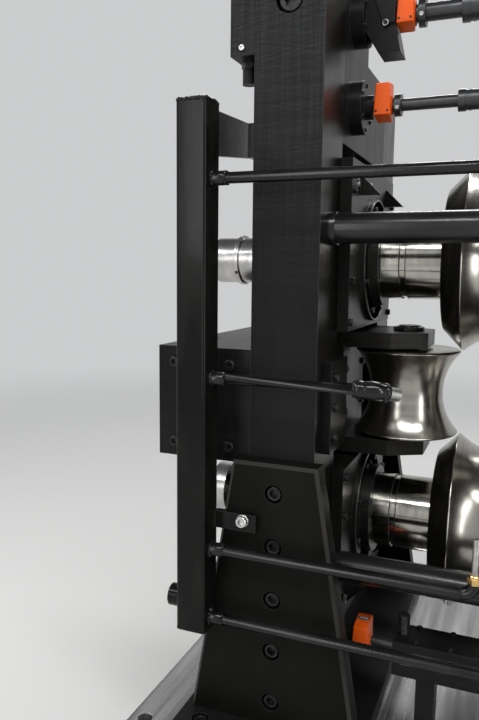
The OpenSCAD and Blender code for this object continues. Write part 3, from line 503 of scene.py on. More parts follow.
# Foot plates
# Tapered buttress plates bolted across the front of each column, machined smooth all over, oiled
# black, with a bright-rubbed chamfer round the front. Five sunk cap screws hold each one.
foot = Finish("foot_black_oxide")
fine = grain(foot, (420, 420, 420), 2)
cloud = grain(foot, (9, 9, 7), 4)
soft = rounded(foot, 0.0011)
slant = abs(foot.split(foot.node("ShaderNodeNewGeometry", {}, {}, "Normal"))[1])
on_chamfer = (slant > 0.3) * (0.95 - slant > 0.0)
tone = foot.mix(spread(cloud, 0.3, 0.72), (0.0042, 0.0041, 0.0037), (0.0085, 0.0083, 0.0075))
tone = foot.mix(on_chamfer * 0.6, tone, (0.045, 0.044, 0.041))
# the edges are lightened, partly as wear and partly as a painted highlight
foot_black = shaded(foot, {
    "Base Color": foot.mix(edge_wear_and_highlight(foot, soft) * 0.6, tone, (0.075, 0.072, 0.067)),
    "Metallic": 0.1,
    "Specular IOR Level": 0.06,
    "Roughness": 0.4 + (cloud - 0.5) * 0.14 + (fine - 0.5) * 0.06,
    "Normal": bumped(foot, fine, 0.00003, soft),
})
wear(foot_black, *(f"foot_{corner}" for corner in corners))
foot_front, screw_sunk, first_screw, screw_gap = 0.331, 0.018, pass_z - 0.080 - 0.048, 0.088
foot_screw = socket_screw(0.0118, 0.0150, 0.0138)
heads = []
for sx, sy, i in product(both, both, range(5)):
    at = (sx * line_x, sy * (foot_front - screw_sunk), first_screw - screw_gap * i)
    heads.append(placed(foot_screw, at, (0, sy, 0), rng.uniform(0, 1)))
piece("foot_plate_screws", heads, screw_black)


# Crossheads and base blocks
# Thick steel blocks between each pair of columns. The crossheads carry the worm gears of the
# screwdown, under flanged bearings for the adjusting shafts; cap screws close their covers.
block_black = black_steel(
    "block_black_steel", (0.0055, 0.0055, 0.0058), (0.012, 0.012, 0.0122), 0.36, 0.25, 0.2
)
wear(block_black, "crosshead_drive", "crosshead_operator")
wear(block_black, "base_block_drive", "base_block_operator")


def screw_ring(head, centre, radius, way, count, first=0):
    """Screws on a circle round a line across the mill, facing along it, way being -1 or 1."""
    x, y, z = centre
    turns = [math.radians(first + 360 // count * i) for i in range(count)]
    return [
        placed(head, (x, y + radius * math.cos(turn), z + radius * math.sin(turn)),
               (way, 0, 0), turn)
        for turn in turns
    ]


shaft_y, upper_z, top_z = -0.110, pass_z + 0.497, pass_z + 0.639
flange_x, flange_hole_r = 0.247, 0.036
flange_screw = socket_screw(0.0034, 0.0026, 0.0032)
cover_screw = socket_screw(0.009, 0.009, 0.009)
# place along the mill of each row of cover screws, and the level on which they stand
cover_rows = ((-0.150, cad_box[1][2] - 0.0094), (0.150, pass_z + 0.595))
heads = []
for sx in both:
    for shaft_z in (upper_z, top_z):
        at = (sx * flange_x, shaft_y, shaft_z)
        heads += screw_ring(flange_screw, at, flange_hole_r, -sx, 6, 30)
    for y, z in cover_rows:
        for x in (-0.036, 0.036):
            heads.append(placed(cover_screw, (sx * line_x + x, y, z), spin=x * 30))
piece("crosshead_screws", heads, screw_black)
seals = []
for shaft_z, ring in ((upper_z, 0.0185), (top_z, 0.0225)):
    lip = turned([(ring + 0.004, 0), (ring + 0.004, 0.002), (ring + 0.002, 0.003), (ring, 0.003)])
    seals.append(placed(lip, (flange_x, shaft_y, shaft_z), (-1, 0, 0)))
piece("shaft_seals", seals, screw_black)
plate_at = (-0.2135, -0.140, pass_z + 0.6215)
plate_screw = placed(socket_screw(0.0038, 0.0032, 0.0038), plate_at, (0, -1, 0), 0.2)
piece("readout_plate_screw", [plate_screw], screw_black)
washer = turned([(0.0050, 0), (0.0050, 0.0008), (0.0047, 0.0011), (0.0040, 0.0011)])
plate_washer = placed(washer, plate_at, (0, -1, 0))
piece("readout_plate_washer", [plate_washer], bright_zinc)


# Side housings and slide guides
# Welded and machined boxes that carry the side roll slides, with a round hub for the adjusting
# screw. L-shaped guides bolt to the columns' inner corners.
wear(block_black, "side_housing_drive", "side_housing_operator")
guide_black = black_steel(
    "guide_black_steel", (0.0035, 0.0035, 0.0034), (0.008, 0.008, 0.0078), 0.34, 0.3, 0.2
)
wear(guide_black, "side_guides")
housing_front, hub_face, hub_hole_r = 0.295, 0.555, 0.040
housing_screw = socket_screw(0.0085, 0.0085, 0.0085)
hub_screw = socket_screw(0.005, 0.005, 0.0052)
heads = []
for sx in both:
    for sy, x, z in product(both, (-0.415, -0.465, -0.515), (-0.068, 0.068)):
        at = (sx * x, sy * housing_front, pass_z + z)
        heads.append(placed(housing_screw, at, (0, sy, 0), x * 7))
    heads += screw_ring(hub_screw, (sx * hub_face, 0, pass_z), hub_hole_r, sx, 6)
piece("side_housing_screws", heads, screw_black)
guide_screw = socket_screw(0.0065, 0.0065, 0.0065)
guide_x, guide_y = 0.256, 0.236
heads = []
for sx, sy, z in product(both, both, (-0.050, 0.0, 0.050)):
    at = (sx * guide_x, sy * guide_y, pass_z + z)
    heads.append(placed(guide_screw, at, (-sx, 0, 0), z * 9))
piece("guide_screws", heads, screw_black)


# Tie bars
# Round black bars that hold the two column pairs apart. Each end has a turned spacer ring
# against the column, with a joint groove where the ring meets the bar.
paint = Finish("painted_bar_black")
skin_marks = grain(paint, (60, 260, 260))
cloud = grain(paint, (8, 14, 14))
bar_black = shaded(paint, {
    "Base Color": paint.mix(
        spread(cloud, 0.3, 0.7), (0.0055, 0.0055, 0.006), (0.013, 0.013, 0.0135)
    ),
    "Metallic": 0.1,
    "Specular IOR Level": 0.45,
    "Roughness": 0.24 + (cloud - 0.5) * 0.12 + (skin_marks - 0.5) * 0.08,
    "Normal": bumped(paint, skin_marks, 0.00008),
})
tie_r, tie_half, tie_y, lap = 0.0245, 0.270, 0.235, 0.0018
tie_bar = turned([(tie_r, 0), (tie_r, 2 * tie_half)], 64)
tie_ring = turned([(tie_r, 0), (tie_r + lap, 0.0), (tie_r + lap, 0.0105),
                   (tie_r + 0.0012, 0.0115), (tie_r, 0.0115)], 48)
tie_at = list(product((-tie_y, tie_y), (pass_z + 0.288, pass_z - 0.268)))
bars = [placed(tie_bar, (-tie_half, y, z), (1, 0, 0)) for y, z in tie_at]
rings = [
    placed(tie_ring, (sx * tie_half, y, z), (-sx, 0, 0)) for sx in both for y, z in tie_at
]
made = piece("tie_bar_rounds", bars, bar_black)
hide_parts("tie_bars")
piece("tie_bar_rings", rings, bar_black)


# Chocks
# Bearing blocks that slide between the columns, with keeper plates lapping over the columns,
# ribs toward the pass and a turned cover with a seal ring round each shaft.
chock_black = black_steel(
    "chock_black_steel", (0.0045, 0.0045, 0.0043), (0.0115, 0.0113, 0.0105), 0.33, 0.5, 0.35
)
rim_steel = black_steel(
    "cover_rim_steel", (0.07, 0.07, 0.067), (0.14, 0.14, 0.133), 0.3, 0.1, 0.95
)
shaft_h = 0.241
keeper_x, cover_x, outer_cover_x, cover_hole_r = 0.249, 0.241, 0.417, 0.0985
keeper_screw = socket_screw(0.0062, 0.0055, 0.0062)
ring_screw = socket_screw(0.0055, 0.0048, 0.0055)
rib_screw = socket_screw(0.0036, 0.003, 0.0036)
rib_pin = turned([(0.0045, 0), (0.0045, 0.011), (0.0038, 0.012)], 20)
cover_rim = turned([(0.1118, 0), (0.1126, 0.0008), (0.1118, 0.0012), (0.1098, 0.0012),
                    (0.1092, 0.0004), (0.1092, 0.0)], 96)
for row, up in (("top", 1), ("bottom", -1)):
    wear(chock_black, f"{row}_chock_drive", f"{row}_chock_operator")
    shaft_z = pass_z + up * shaft_h
    black_heads, bright_heads, rims = [], [], []
    for sx in both:
        inward = (-sx, 0, 0)
        for y, z in product((-0.172, 0.172), (0.135, 0.205, 0.285, 0.355)):
            at = (sx * keeper_x, y, pass_z + up * z)
            black_heads.append(placed(keeper_screw, at, inward, z * 8))
        for y, z in ((-0.145, 0.366), (-0.1495, 0.375)):
            at = (sx * keeper_x, y, pass_z + up * z)
            bright_heads.append(placed(rib_screw, at, inward, z))
        at = (sx * keeper_x, -0.0875, pass_z + up * 0.3705)
        bright_heads.append(placed(rib_pin, at, inward))
        for x, way in ((cover_x, -sx), (outer_cover_x, sx)):
            at = (sx * x, 0, shaft_z)
            black_heads += screw_ring(ring_screw, at, cover_hole_r, way, 8, 22.5)
        rims.append(placed(cover_rim, (sx * cover_x, 0, shaft_z), inward))
    saddle = f"{row}_saddle"
    piece(f"{row}_chock_screws", black_heads, screw_black, saddle)
    piece(f"{row}_chock_pins", bright_heads, bright_zinc, saddle)
    piece(f"{row}_cover_rims", rims, rim_steel, saddle)


# Roll shafts
# Turned and ground steel shafts. The drive ends stand out past the drive side chocks, one with a
# lock collar and one with a coupling flange.
def turned_steel(name, lines, clouds, tones, metallic, rough, depth, edge):
    """Turned steel, with lines and clouds as waves and detail, rough as least and swings."""
    made = Finish(name)
    marks, haze = grain(made, *lines), grain(made, *clouds)
    return shaded(made, {
        "Base Color": made.mix(spread(haze, 0.3, 0.7), *tones),
        "Metallic": metallic,
        "Roughness": rough[0] + marks * rough[1] + spread(haze, 0.4, 0.8) * rough[2],
        "Normal": bumped(made, marks, depth, rounded(made, edge)),
    })


ground_steel = turned_steel(
    "ground_shaft_steel", ((520, 18, 18), 3), ((40, 25, 25), 4),
    ((0.40, 0.39, 0.38), (0.58, 0.575, 0.56)), 1.0, (0.17, 0.13, 0.0), 0.00005, 0.001,
)
wear(ground_steel, "top_shaft", "bottom_shaft")


def radial(head, centre, radius, degrees, spin=0.0):
    """A screw that points straight out of a round bar across the mill."""
    turn = math.radians(degrees)
    out = Vector((0, math.cos(turn), math.sin(turn)))
    return placed(head, Vector(centre) + out * radius, out, spin)


collar_mid, collar_r = (-0.512, 0, pass_z + shaft_h), 0.0482
grub = socket_screw(0.0032, 0.0016, 0.003)
grubs = [radial(grub, collar_mid, collar_r, degrees) for degrees in (90, 210, 330)]
piece("lock_collar_screws", grubs, screw_black, "top_roll_set")


# Spacer sleeves
# Hardened and ground distance sleeves with a narrow lock ring between them. They are the
# brightest turned parts of the stand and show every lamp as a stripe.
sleeve_steel = turned_steel(
    "polished_sleeve_steel", ((900, 14, 14), 2), ((55, 22, 22), 4),
    ((0.34, 0.325, 0.28), (0.50, 0.49, 0.45)), 1.0, (0.08, 0.08, 0.05), 0.00004, 0.0008,
)
wear(sleeve_steel, "top_spacers", "bottom_spacers")
groove_steel = speckled(
    "groove_shadow_steel", (200, 200, 200), 2, (0.0, 1.0),
    ((0.012, 0.012, 0.012), (0.03, 0.029, 0.027)), (0.3, 0.2), 0.5,
)
spacer_r, seam_deep, seam_half = 0.070, 0.003, 0.0006
seam = turned([(spacer_r - seam_deep, -seam_half), (spacer_r + 0.0002, -seam_half),
               (spacer_r + 0.0002, seam_half), (spacer_r - seam_deep, seam_half)], 96)
for row, up in (("top", 1), ("bottom", -1)):
    seams = [
        placed(seam, (sx * x, 0, pass_z + up * shaft_h), (sx, 0, 0))
        for sx in both for x in (0.1778, 0.1890)
    ]
    piece(f"{row}_spacer_seams", seams, groove_steel, f"{row}_roll_set")


# Rolls
# Forged steel rolls turned on a lathe. The groove follows a quarter of the pipe, and fine turning
# marks run round it.
def roll_steel(name, axis_index, centre):
    """Turned roll steel whose marks run round the roll's own axis."""
    made = Finish(name)
    parts = made.split(place_of(made))
    first, second = (i for i in range(3) if i != axis_index)
    radius = (
        (parts[first] - centre[first]) ** 2 + (parts[second] - centre[second]) ** 2
    ) ** 0.5
    lane = made.node("ShaderNodeCombineXYZ", {}, {"X": parts[axis_index], "Y": radius, "Z": 0.0})
    fine = grain(made, (620, 620, 1), vector=lane)
    bands = grain(made, (70, 70, 1), vector=lane)
    smear = grain(made, (9, 9, 9))
    tone = made.mix(spread(bands, 0.3, 0.7), (0.33, 0.315, 0.28), (0.45, 0.435, 0.395))
    return shaded(made, {
        "Base Color": made.mix(spread(smear, 0.4, 0.75) * 0.35, tone, (0.25, 0.235, 0.20)),
        "Metallic": 1.0,
        "Roughness": 0.17 + fine * 0.09 + spread(smear, 0.45, 0.8) * 0.05,
        "Normal": bumped(made, fine, 0.000012),
    })


def bend(t, start, middle, end):
    """Point at t on the curve from start to end that leans toward middle."""
    return start * (1 - t) ** 2 + middle * 2 * t * (1 - t) + end * t * t


pass_r, rim_gap, broken_edge = 0.1095, 0.005, 0.0012


def roll_section(axis_gap, half, bore):
    """Section of a roll as (radius, height) pairs round its wall, with softly broken edges."""
    bevel_gap = rim_gap * math.sqrt(0.5)
    edge_u = (math.sqrt(2 * pass_r ** 2 - bevel_gap ** 2) - bevel_gap) / 2
    edge_r = axis_gap - math.sqrt(pass_r ** 2 - edge_u ** 2)
    face_r = axis_gap - half - bevel_gap
    upper = []
    for i in range(25):
        u = (edge_u - broken_edge) * i / 24
        upper.append((axis_gap - math.sqrt(pass_r ** 2 - u * u), u))
    slant = math.sqrt(0.5) * broken_edge
    edge = [Vector(upper[-1]), Vector((edge_r, edge_u)), Vector((edge_r - slant, edge_u + slant))]
    upper += [tuple(bend(t, *edge)) for t in (0.25, 0.5, 0.75, 1.0)]
    upper += [(face_r + 0.0006, half - 0.0006), (face_r - 0.0008, half), (bore, half)]
    return [(radius, -high) for radius, high in reversed(upper[1:])] + upper


side_x = 0.176
main_roll, side_roll = (shaft_h, 0.111, 0.045), (side_x, 0.079, 0.02005)
for node_name, body, at, axis, size in (
    ("top_roll", "top_roll_set", (0, 0, pass_z + shaft_h), (1, 0, 0), main_roll),
    ("bottom_roll", "bottom_roll_set", (0, 0, pass_z - shaft_h), (1, 0, 0), main_roll),
    ("side_roll_drive", "drive_side_roll", (-side_x, 0, pass_z), (0, 0, 1), side_roll),
    ("side_roll_operator", "operator_side_roll", (side_x, 0, pass_z), (0, 0, 1), side_roll),
):
    turned_roll = placed(turned(roll_section(*size), 144, True), at, axis)
    finish = roll_steel(f"{node_name}_steel", axis.index(1), at)
    made = piece(f"{node_name}_turned", [turned_roll], finish, body)
    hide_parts(node_name)


# Yokes and axles
# Forked steel slides that hold the side rolls on upright axles. The arms are milled and narrow
# to a nose; a flat round nut closes each end of the ground axle.
yoke_black = black_steel(
    "yoke_black_steel", (0.006, 0.0058, 0.0052), (0.014, 0.0134, 0.012), 0.34, 0.4, 0.4
)
wear(yoke_black, "yoke_drive", "yoke_operator")
axle_steel = black_steel(
    "axle_nut_steel", (0.016, 0.016, 0.0155), (0.04, 0.039, 0.037), 0.28, 0.2, 0.7
)
nut_end = [(0.0200, 0.1121), (0.0285, 0.1121), (0.0285, 0.1180), (0.0275, 0.1190),
           (0.0188, 0.1190), (0.0184, 0.1214), (0.0175, 0.1222)]
axle = turned([(radius, -high) for radius, high in reversed(nut_end)] + nut_end, 64)
nut_face, nut_hole_r, yoke_face, lock_face = 0.1190, 0.0232, 0.279, 0.5552
nut_screw = socket_screw(0.0030, 0.0016, 0.003)
yoke_screw = socket_screw(0.0065, 0.006, 0.0065)
lock_nut = turned([(0.0242, 0), (0.0300, 0.0), (0.0310, 0.001), (0.0310, 0.009),
                   (0.0300, 0.010), (0.0242, 0.010)], 6, True)
for side, sx in (("drive", -1), ("operator", 1)):
    slide = f"{side}_side_slide"
    made = piece(
        f"{side}_side_axle_nuts", [placed(axle, (sx * side_x, 0, pass_z))], axle_steel,
        slide,
    )
    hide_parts(f"side_axle_{side}")
    heads = []
    for up, turn in product(both, (math.radians(45), math.radians(225))):
        at = (sx * side_x + nut_hole_r * math.cos(turn), nut_hole_r * math.sin(turn),
              pass_z + up * nut_face)
        heads.append(placed(nut_screw, at, (0, 0, up), turn))
    for y, z in product((-0.068, 0.068), (-0.098, -0.04, 0.04, 0.098)):
        heads.append(placed(yoke_screw, (sx * yoke_face, y, pass_z + z), (-sx, 0, 0), z * 9))
    piece(f"{side}_yoke_screws", heads, screw_black, slide)
    nuts = [placed(lock_nut, (sx * lock_face, 0, pass_z), (sx, 0, 0))]
    piece(f"{side}_lock_nut", nuts, screw_black)


# Screw and jack spindles
# Turned steel screws that set the chocks. A thrust cup with two grooves sits on the chock, and
# the thread above it runs up into the crosshead.
def threaded(start, end, radius, pitch, depth, sides=48):
    """Right-hand screw thread from start to end, closed at both ends."""
    rings = []
    rows = int((end - start) / pitch * 4)
    for j in range(rows + 1):
        high, ring = start + (end - start) * j / rows, []
        for i in range(sides):
            turn = 2 * math.pi * i / sides
            phase = ((high - start) / pitch - i / sides) % 1.0
            lift = min(1.0, max(0.0, 2.0 - abs(phase - 0.5) * 5.0))
            if j in (0, rows):
                lift = 0.0
            here = radius - depth * (1.0 - lift)
            ring.append((here * math.cos(turn), here * math.sin(turn), high))
        rings.append(ring)
    return skin(rings)


spindle_steel = speckled(
    "oiled_spindle_steel", (30, 30, 60), 4, (0.3, 0.7),
    ((0.035, 0.035, 0.034), (0.085, 0.083, 0.078)), (0.18, 0.16), 0.8, edge=0.0008,
)
screw_pitch, screw_r, thread_deep, cup_t = 0.012, 0.035, 0.0035, 0.015
cup_r, waist_r = 0.046, 0.044
cup = turned([(cup_r, 0), (cup_r, 0.004), (waist_r, 0.0045), (waist_r, 0.006), (cup_r, 0.0065),
              (cup_r, 0.0105), (waist_r, 0.011), (waist_r, 0.0125), (cup_r, 0.013),
              (cup_r - 0.001, cup_t), (screw_r - 0.001, cup_t)], 64)
for kind, saddle, up in (("screw", "top_saddle", 1), ("jack", "bottom_saddle", -1)):
    low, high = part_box(f"{kind}_spindles")
    thread = threaded(cup_t, high.z - low.z, screw_r, screw_pitch, thread_deep)
    parts = []
    for sx in both:
        at = (sx * line_x, 0, low.z if up > 0 else high.z)
        parts += [placed(cup, at, (0, 0, up)), placed(thread, at, (0, 0, up))]
    made = piece(f"{kind}_spindle_threads", parts, spindle_steel, saddle, 40)
    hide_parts(f"{kind}_spindles")


# Adjusting shafts
# Two round shafts across the top of the stand that turn the screwdown gears together, coupled by
# a tube in the middle. A clamp collar with two bright screws sits beside each readout.
shaft_dark = turned_steel(
    "adjusting_shaft_steel", ((300, 40, 40), 3), ((14, 30, 30), 3),
    ((0.035, 0.036, 0.038), (0.075, 0.076, 0.078)), 0.75, (0.26, 0.16, 0.0), 0.00004, 0.0007,
)
wear(shaft_dark, "upper_adjusting_shaft", "top_adjusting_shaft", "lower_adjusting_shaft")
clamp_screw = socket_screw(0.0034, 0.0026, 0.0034)
tube_screw = socket_screw(0.0032, 0.0012, 0.003)
clamp_out, tube_sunk = 0.0074, 0.0006
for row, shaft_z, shaft_r, tube_r, clamp_x in (
    ("upper", upper_z, 0.010, 0.016, -0.1925),
    ("top", top_z, 0.014, 0.021, -0.1585),
):
    at = (clamp_x, shaft_y, shaft_z)
    clamps = [
        radial(clamp_screw, at, shaft_r + clamp_out, degrees, 0.3) for degrees in (60, 200)
    ]
    grubs = []
    tube_end = turned([(tube_r - 0.001, 0), (tube_r + 0.0015, 0.0), (tube_r + 0.0015, 0.012),
                       (tube_r - 0.001, 0.012)], 48)
    for sx in both:
        for x, degrees in product((0.078, 0.090), (-60, 120)):
            at = (sx * x, shaft_y, shaft_z)
            grubs.append(radial(tube_screw, at, tube_r - tube_sunk, degrees, 0.5))
        grubs.append(placed(tube_end, (sx * 0.0965, shaft_y, shaft_z), (-sx, 0, 0)))
    piece(f"{row}_clamp_screws", clamps, bright_zinc, f"{row}_adjuster")
    piece(f"{row}_coupling_screws", grubs, shaft_dark, f"{row}_adjuster")


# Position readouts
# Small moulded cases of bright orange plastic with rounded edges. Each sits on its shaft and has
# a counter window with five number wheels in the face that slopes up toward the operator.
orange = Finish("orange_moulded_plastic")
grit = grain(orange, (700, 700, 700), 2)
cloud = grain(orange, (40, 40, 40))
orange_plastic = shaded(orange, {
    "Base Color": orange.mix(
        spread(cloud, 0.3, 0.7), (0.60, 0.074, 0.003), (0.68, 0.092, 0.005)
    ),
    "Roughness": 0.36 + (cloud - 0.5) * 0.1,
    "Normal": bumped(orange, grit, 0.00004),
    "Specular IOR Level": 0.25,
})
window_grey = speckled(
    "readout_window_grey", (200, 200, 200), 2, (0.0, 1.0),
    ((0.05, 0.055, 0.06), (0.1, 0.105, 0.11)), (0.12, 0.08),
)
wheel_white = speckled(
    "number_wheel_white", (300, 300, 300), 2, (0.0, 1.0),
    ((0.62, 0.62, 0.6), (0.8, 0.8, 0.78)), (0.5, 0.0),
)


def rounded_box(low, high, round_r, steps=4):
    """Box whose corners and edges are rounded, as a mesh."""
    centre = (Vector(low) + Vector(high)) / 2
    half = (Vector(high) - Vector(low)) / 2
    verts, faces, index = [], [], {}
    n = steps * 2 + 1

    def spot_of(face_axis, side, i, j):
        point, core = Vector((0, 0, 0)), Vector((0, 0, 0))
        point[face_axis] = side
        core[face_axis] = side * (half[face_axis] - round_r)
        for ax, k in (((face_axis + 1) % 3, i), ((face_axis + 2) % 3, j)):
            end = -1 if k <= steps else 1
            part = (k - steps - (end > 0)) / steps
            core[ax] = end * (half[ax] - round_r)
            point[ax] = math.tan(part * math.pi / 4)
        return centre + core + point.normalized() * round_r

    for face_axis in range(3):
        for side in both:
            grid = []
            for i in range(n + 1):
                line = []
                for j in range(n + 1):
                    at = spot_of(face_axis, side, i, j)
                    key = tuple(round(c, 7) for c in at)
                    if key not in index:
                        index[key] = len(verts)
                        verts.append(tuple(at))
                    line.append(index[key])
                grid.append(line)
            for i in range(n):
                for j in range(n):
                    face = (grid[i][j], grid[i + 1][j], grid[i + 1][j + 1], grid[i][j + 1])
                    faces.append(face if side > 0 else tuple(reversed(face)))
    return verts, faces


read_w, read_h, read_front, read_axis = 0.028, 0.052, 0.024, 0.034
# name, place of the case, radius of its shaft, depth, how much taller it is, rise of its
# window over the case's top line, and number
readouts = [
    ("upper_readout", (-0.216, shaft_y, upper_z), 0.010, 0.034, 0.003, 0.0016, "04125"),
    ("top_readout", (-0.184, shaft_y, top_z), 0.014, 0.034, 0.003, 0.0016, "04125"),
    ("lower_readout", (-0.202, -0.205, pass_z - 0.405), 0.007, 0.047, 0.0, -0.0014, "03860"),
]
case_screw = socket_screw(0.0018, 0.0012, 0.0018)
cases = []
for _, (x, y, z), shaft_r, deep, taller, _, _ in readouts:
    low = Vector((x - read_w / 2, y - read_front, z + read_axis - read_h))
    high = Vector((x + read_w / 2, y - read_front + deep, z + read_axis + taller))
    case_verts, case_faces = rounded_box(low, high, 0.0022)
    lean = []
    for vx, vy, vz in case_verts:
        back = (vy - low.y) / deep
        if vz > high.z - 0.012:
            vz -= (1.0 - back) * 0.004
            vx += (x - vx) * 0.16 * (1.0 - back * 0.5)
        elif taller and vz < low.z + 0.012:
            vz -= back * 0.007
            vx += (x - vx) * 0.10 * back
        lean.append((vx, vy, vz))
    cases.append((lean, case_faces))
    cases.append(placed(
        turned([(shaft_r + 0.0006, 0.0), (shaft_r + 0.0045, 0.0), (shaft_r + 0.0045, 0.0016),
                (shaft_r + 0.0036, 0.0022), (shaft_r + 0.0006, 0.0022)], 40),
        (high.x - 0.0012, y, z), (1, 0, 0),
    ))
made = piece("readout_cases", cases, orange_plastic, "stand_frame", 50)
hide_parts("position_readouts")
windows, heads = [], []
for name, (x, y, z), _, deep, _, window_rise, number in readouts:
    eye = Vector((x, y - read_front + deep * 0.66, z + read_axis + window_rise))
    windows.append(rounded_box(
        eye - Vector((0.0095, 0.0055, 0.0015)), eye + Vector((0.0095, 0.0055, 0.0004)), 0.0004, 2
    ))
    text = bpy.data.curves.new(f"{name}_number", "FONT")
    text.body = number
    text.size = 0.0058
    text.align_x = "CENTER"
    text.align_y = "CENTER"
    text.extrude = 0.0001
    label = bpy.data.objects.new(f"{name}_number", text)
    label.matrix_world = Matrix.Translation(eye + Vector((0, 0, 0.0006)))
    bpy.context.scene.collection.objects.link(label)
    text.materials.append(wheel_white)
    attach(label, "stand_frame")
    for dx in (-0.0095, 0.0095):
        at = (x + dx, y - read_front - 0.0002, z + read_axis - 0.0455)
        heads.append(placed(case_screw, at, (0, -1, 0), 0.2))
piece("readout_windows", windows, window_grey)
piece("readout_screws", heads, screw_black)


# Lower gear unit
# Long black gear case on two legs that raises and lowers the bottom saddle. A threaded stud
# stands on its drive side end, and cap screws hold the cover.
wear(block_black, "lower_gear_unit")
case_y, case_top = -0.205, pass_z - 0.381
gear_screw = socket_screw(0.0045, 0.0042, 0.0045)
heads = [
    placed(gear_screw, (x, case_y + y, case_top), spin=x * 9)
    for x, y in product((-0.110, -0.055, 0.0, 0.055, 0.110), (-0.026, 0.026))
]
piece("gear_case_screws", heads, screw_black)
stud = threaded(0.0004, 0.0335, 0.0098, 0.0030, 0.0007, 32)
piece("gear_case_stud_thread", [placed(stud, (-0.133, case_y, case_top))], screw_black)


# Coolant header
# Square steel tube, welded shut at the top and painted gloss black. Two brackets hold it off the
# column and the foot plate, and lumpy weld beads run round its cap and its pipe sockets.
gloss = Finish("gloss_black_paint_header")
peel = grain(gloss, (170, 170, 170), 2)
dust = grain(gloss, (28, 28, 10), 4)
soft = rounded(gloss, 0.0012)
tone = gloss.mix(spread(dust, 0.45, 0.85), (0.0038, 0.0038, 0.0036), (0.010, 0.010, 0.0088))
# the edges are lightened, partly as paint worn through and partly as a painted highlight
gloss_black = shaded(gloss, {
    "Base Color": gloss.mix(edge_wear_and_highlight(gloss, soft) * 0.8, tone, (0.075, 0.075, 0.072)),
    "Specular IOR Level": 0.14,
    "Roughness": 0.12 + spread(dust, 0.4, 0.8) * 0.1,
    "Normal": bumped(gloss, peel, 0.00004, soft),
    "Coat Weight": 0.05,
    "Coat Roughness": 0.05,
})
wear(gloss_black, "header_post", "header_brackets")


def bead(path, radius, lump, closed=True, sides=8):
    """Weld bead along a path of points, swelling and shrinking with its ripples."""
    rings, count = [], len(path)
    for j, point in enumerate(path):
        before = path[(j - 1) % count] if closed or j else path[0]
        after = path[(j + 1) % count] if closed or j < count - 1 else path[-1]
        along = (Vector(after) - Vector(before)).normalized()
        side = along.cross(Vector((0, 0, 1)) if abs(along.z) < 0.9 else Vector((1, 0, 0)))
        side.normalize()
        over = side.cross(along)
        ripple = 0.45 * math.sin(j * math.pi / 2) + rng.uniform(-0.9, 0.9)
        swell = radius * (1.0 + lump * ripple)
        rings.append([
            tuple(Vector(point) + side * cos_at + over * sin_at)
            for cos_at, sin_at, _ in circle(swell, 0, sides)
        ])
    return skin(rings, closed)


def line_points(start, end, step):
    start, end = Vector(start), Vector(end)
    count = max(2, int((end - start).length / step))
    return [tuple(start.lerp(end, i / count)) for i in range(count + 1)]


def ring_weld(centre, radius, axis, step, weld_r, lump):
    count = max(12, int(2 * math.pi * radius / step))
    turn = Vector(axis).to_track_quat("Z", "Y")
    path = [tuple(Vector(centre) + turn @ Vector(at)) for at in circle(radius, 0, count)]
    return bead(path, weld_r, lump)


tube_low, tube_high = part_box("header_post")
tube_half, cap_in, ripple_step = 0.025, 0.0028, 0.0016
tube_cx = tube_high.x - tube_half
tube_cy = (tube_low.y + tube_high.y) / 2
inset = tube_half - cap_in
cap_z, foot_z = tube_high.z - 0.0015, tube_low.z + 0.0035
cap_path = []
tube_corners = [(-inset, -inset), (inset, -inset), (inset, inset), (-inset, inset)]
for (ax, ay), (bx, by) in zip(tube_corners, tube_corners[1:] + tube_corners[:1]):
    start, end = (tube_cx + ax, tube_cy + ay, cap_z), (tube_cx + bx, tube_cy + by, cap_z)
    cap_path += line_points(start, end, ripple_step)[:-1]
foot_path = [(x, y, foot_z) for x, y, z in cap_path]
inlet_at = (tube_low.x + 0.0204, tube_cy, tube_low.z + 0.045)
# upright welds where the two brackets meet the tube: place, and the heights they run between
upper_weld = (tube_cx + 0.011, tube_high.y + 0.0006), (0.394, 0.462)
lower_weld = (tube_high.x + 0.0004, tube_high.y - 0.0120), (-0.190, -0.164)
beads = [
    bead(cap_path, 0.0038, 0.3),
    bead(foot_path, 0.0028, 0.25),
    ring_weld(inlet_at, 0.0186, (1, 0, 0), ripple_step, 0.0022, 0.3),
]
for ((x, y), (z0, z1)), weld_r in ((upper_weld, 0.0021), (lower_weld, 0.0020)):
    path = line_points((x, y, pass_z + z0), (x, y, pass_z + z1), ripple_step)
    beads.append(bead(path, weld_r, 0.3, False))
piece("header_welds", beads, gloss_black, "stand_frame", 60)

bolt_x, bolt_z, washer_y = -0.3715, pass_z - 0.1735, -0.3432
washer = turned([(0.0104, 0), (0.0104, 0.0012), (0.0099, 0.0018), (0.006, 0.0018)])
lower_bolt = [
    placed(socket_screw(0.0090, 0.0094, 0.0094), (bolt_x, -0.343, bolt_z), (0, -1, 0), 0.35),
    placed(washer, (bolt_x, washer_y, bolt_z), (0, -1, 0)),
]
piece("lower_bracket_bolt", lower_bolt, bright_zinc)
bracket_screw = socket_screw(0.0068, 0.0062, 0.0068)
heads = [
    placed(bracket_screw, (-0.390, y, pass_z + 0.420), (-1, 0, 0), y * 30)
    for y in (-0.276, -0.248)
]
piece("upper_bracket_bolts", heads, screw_black)


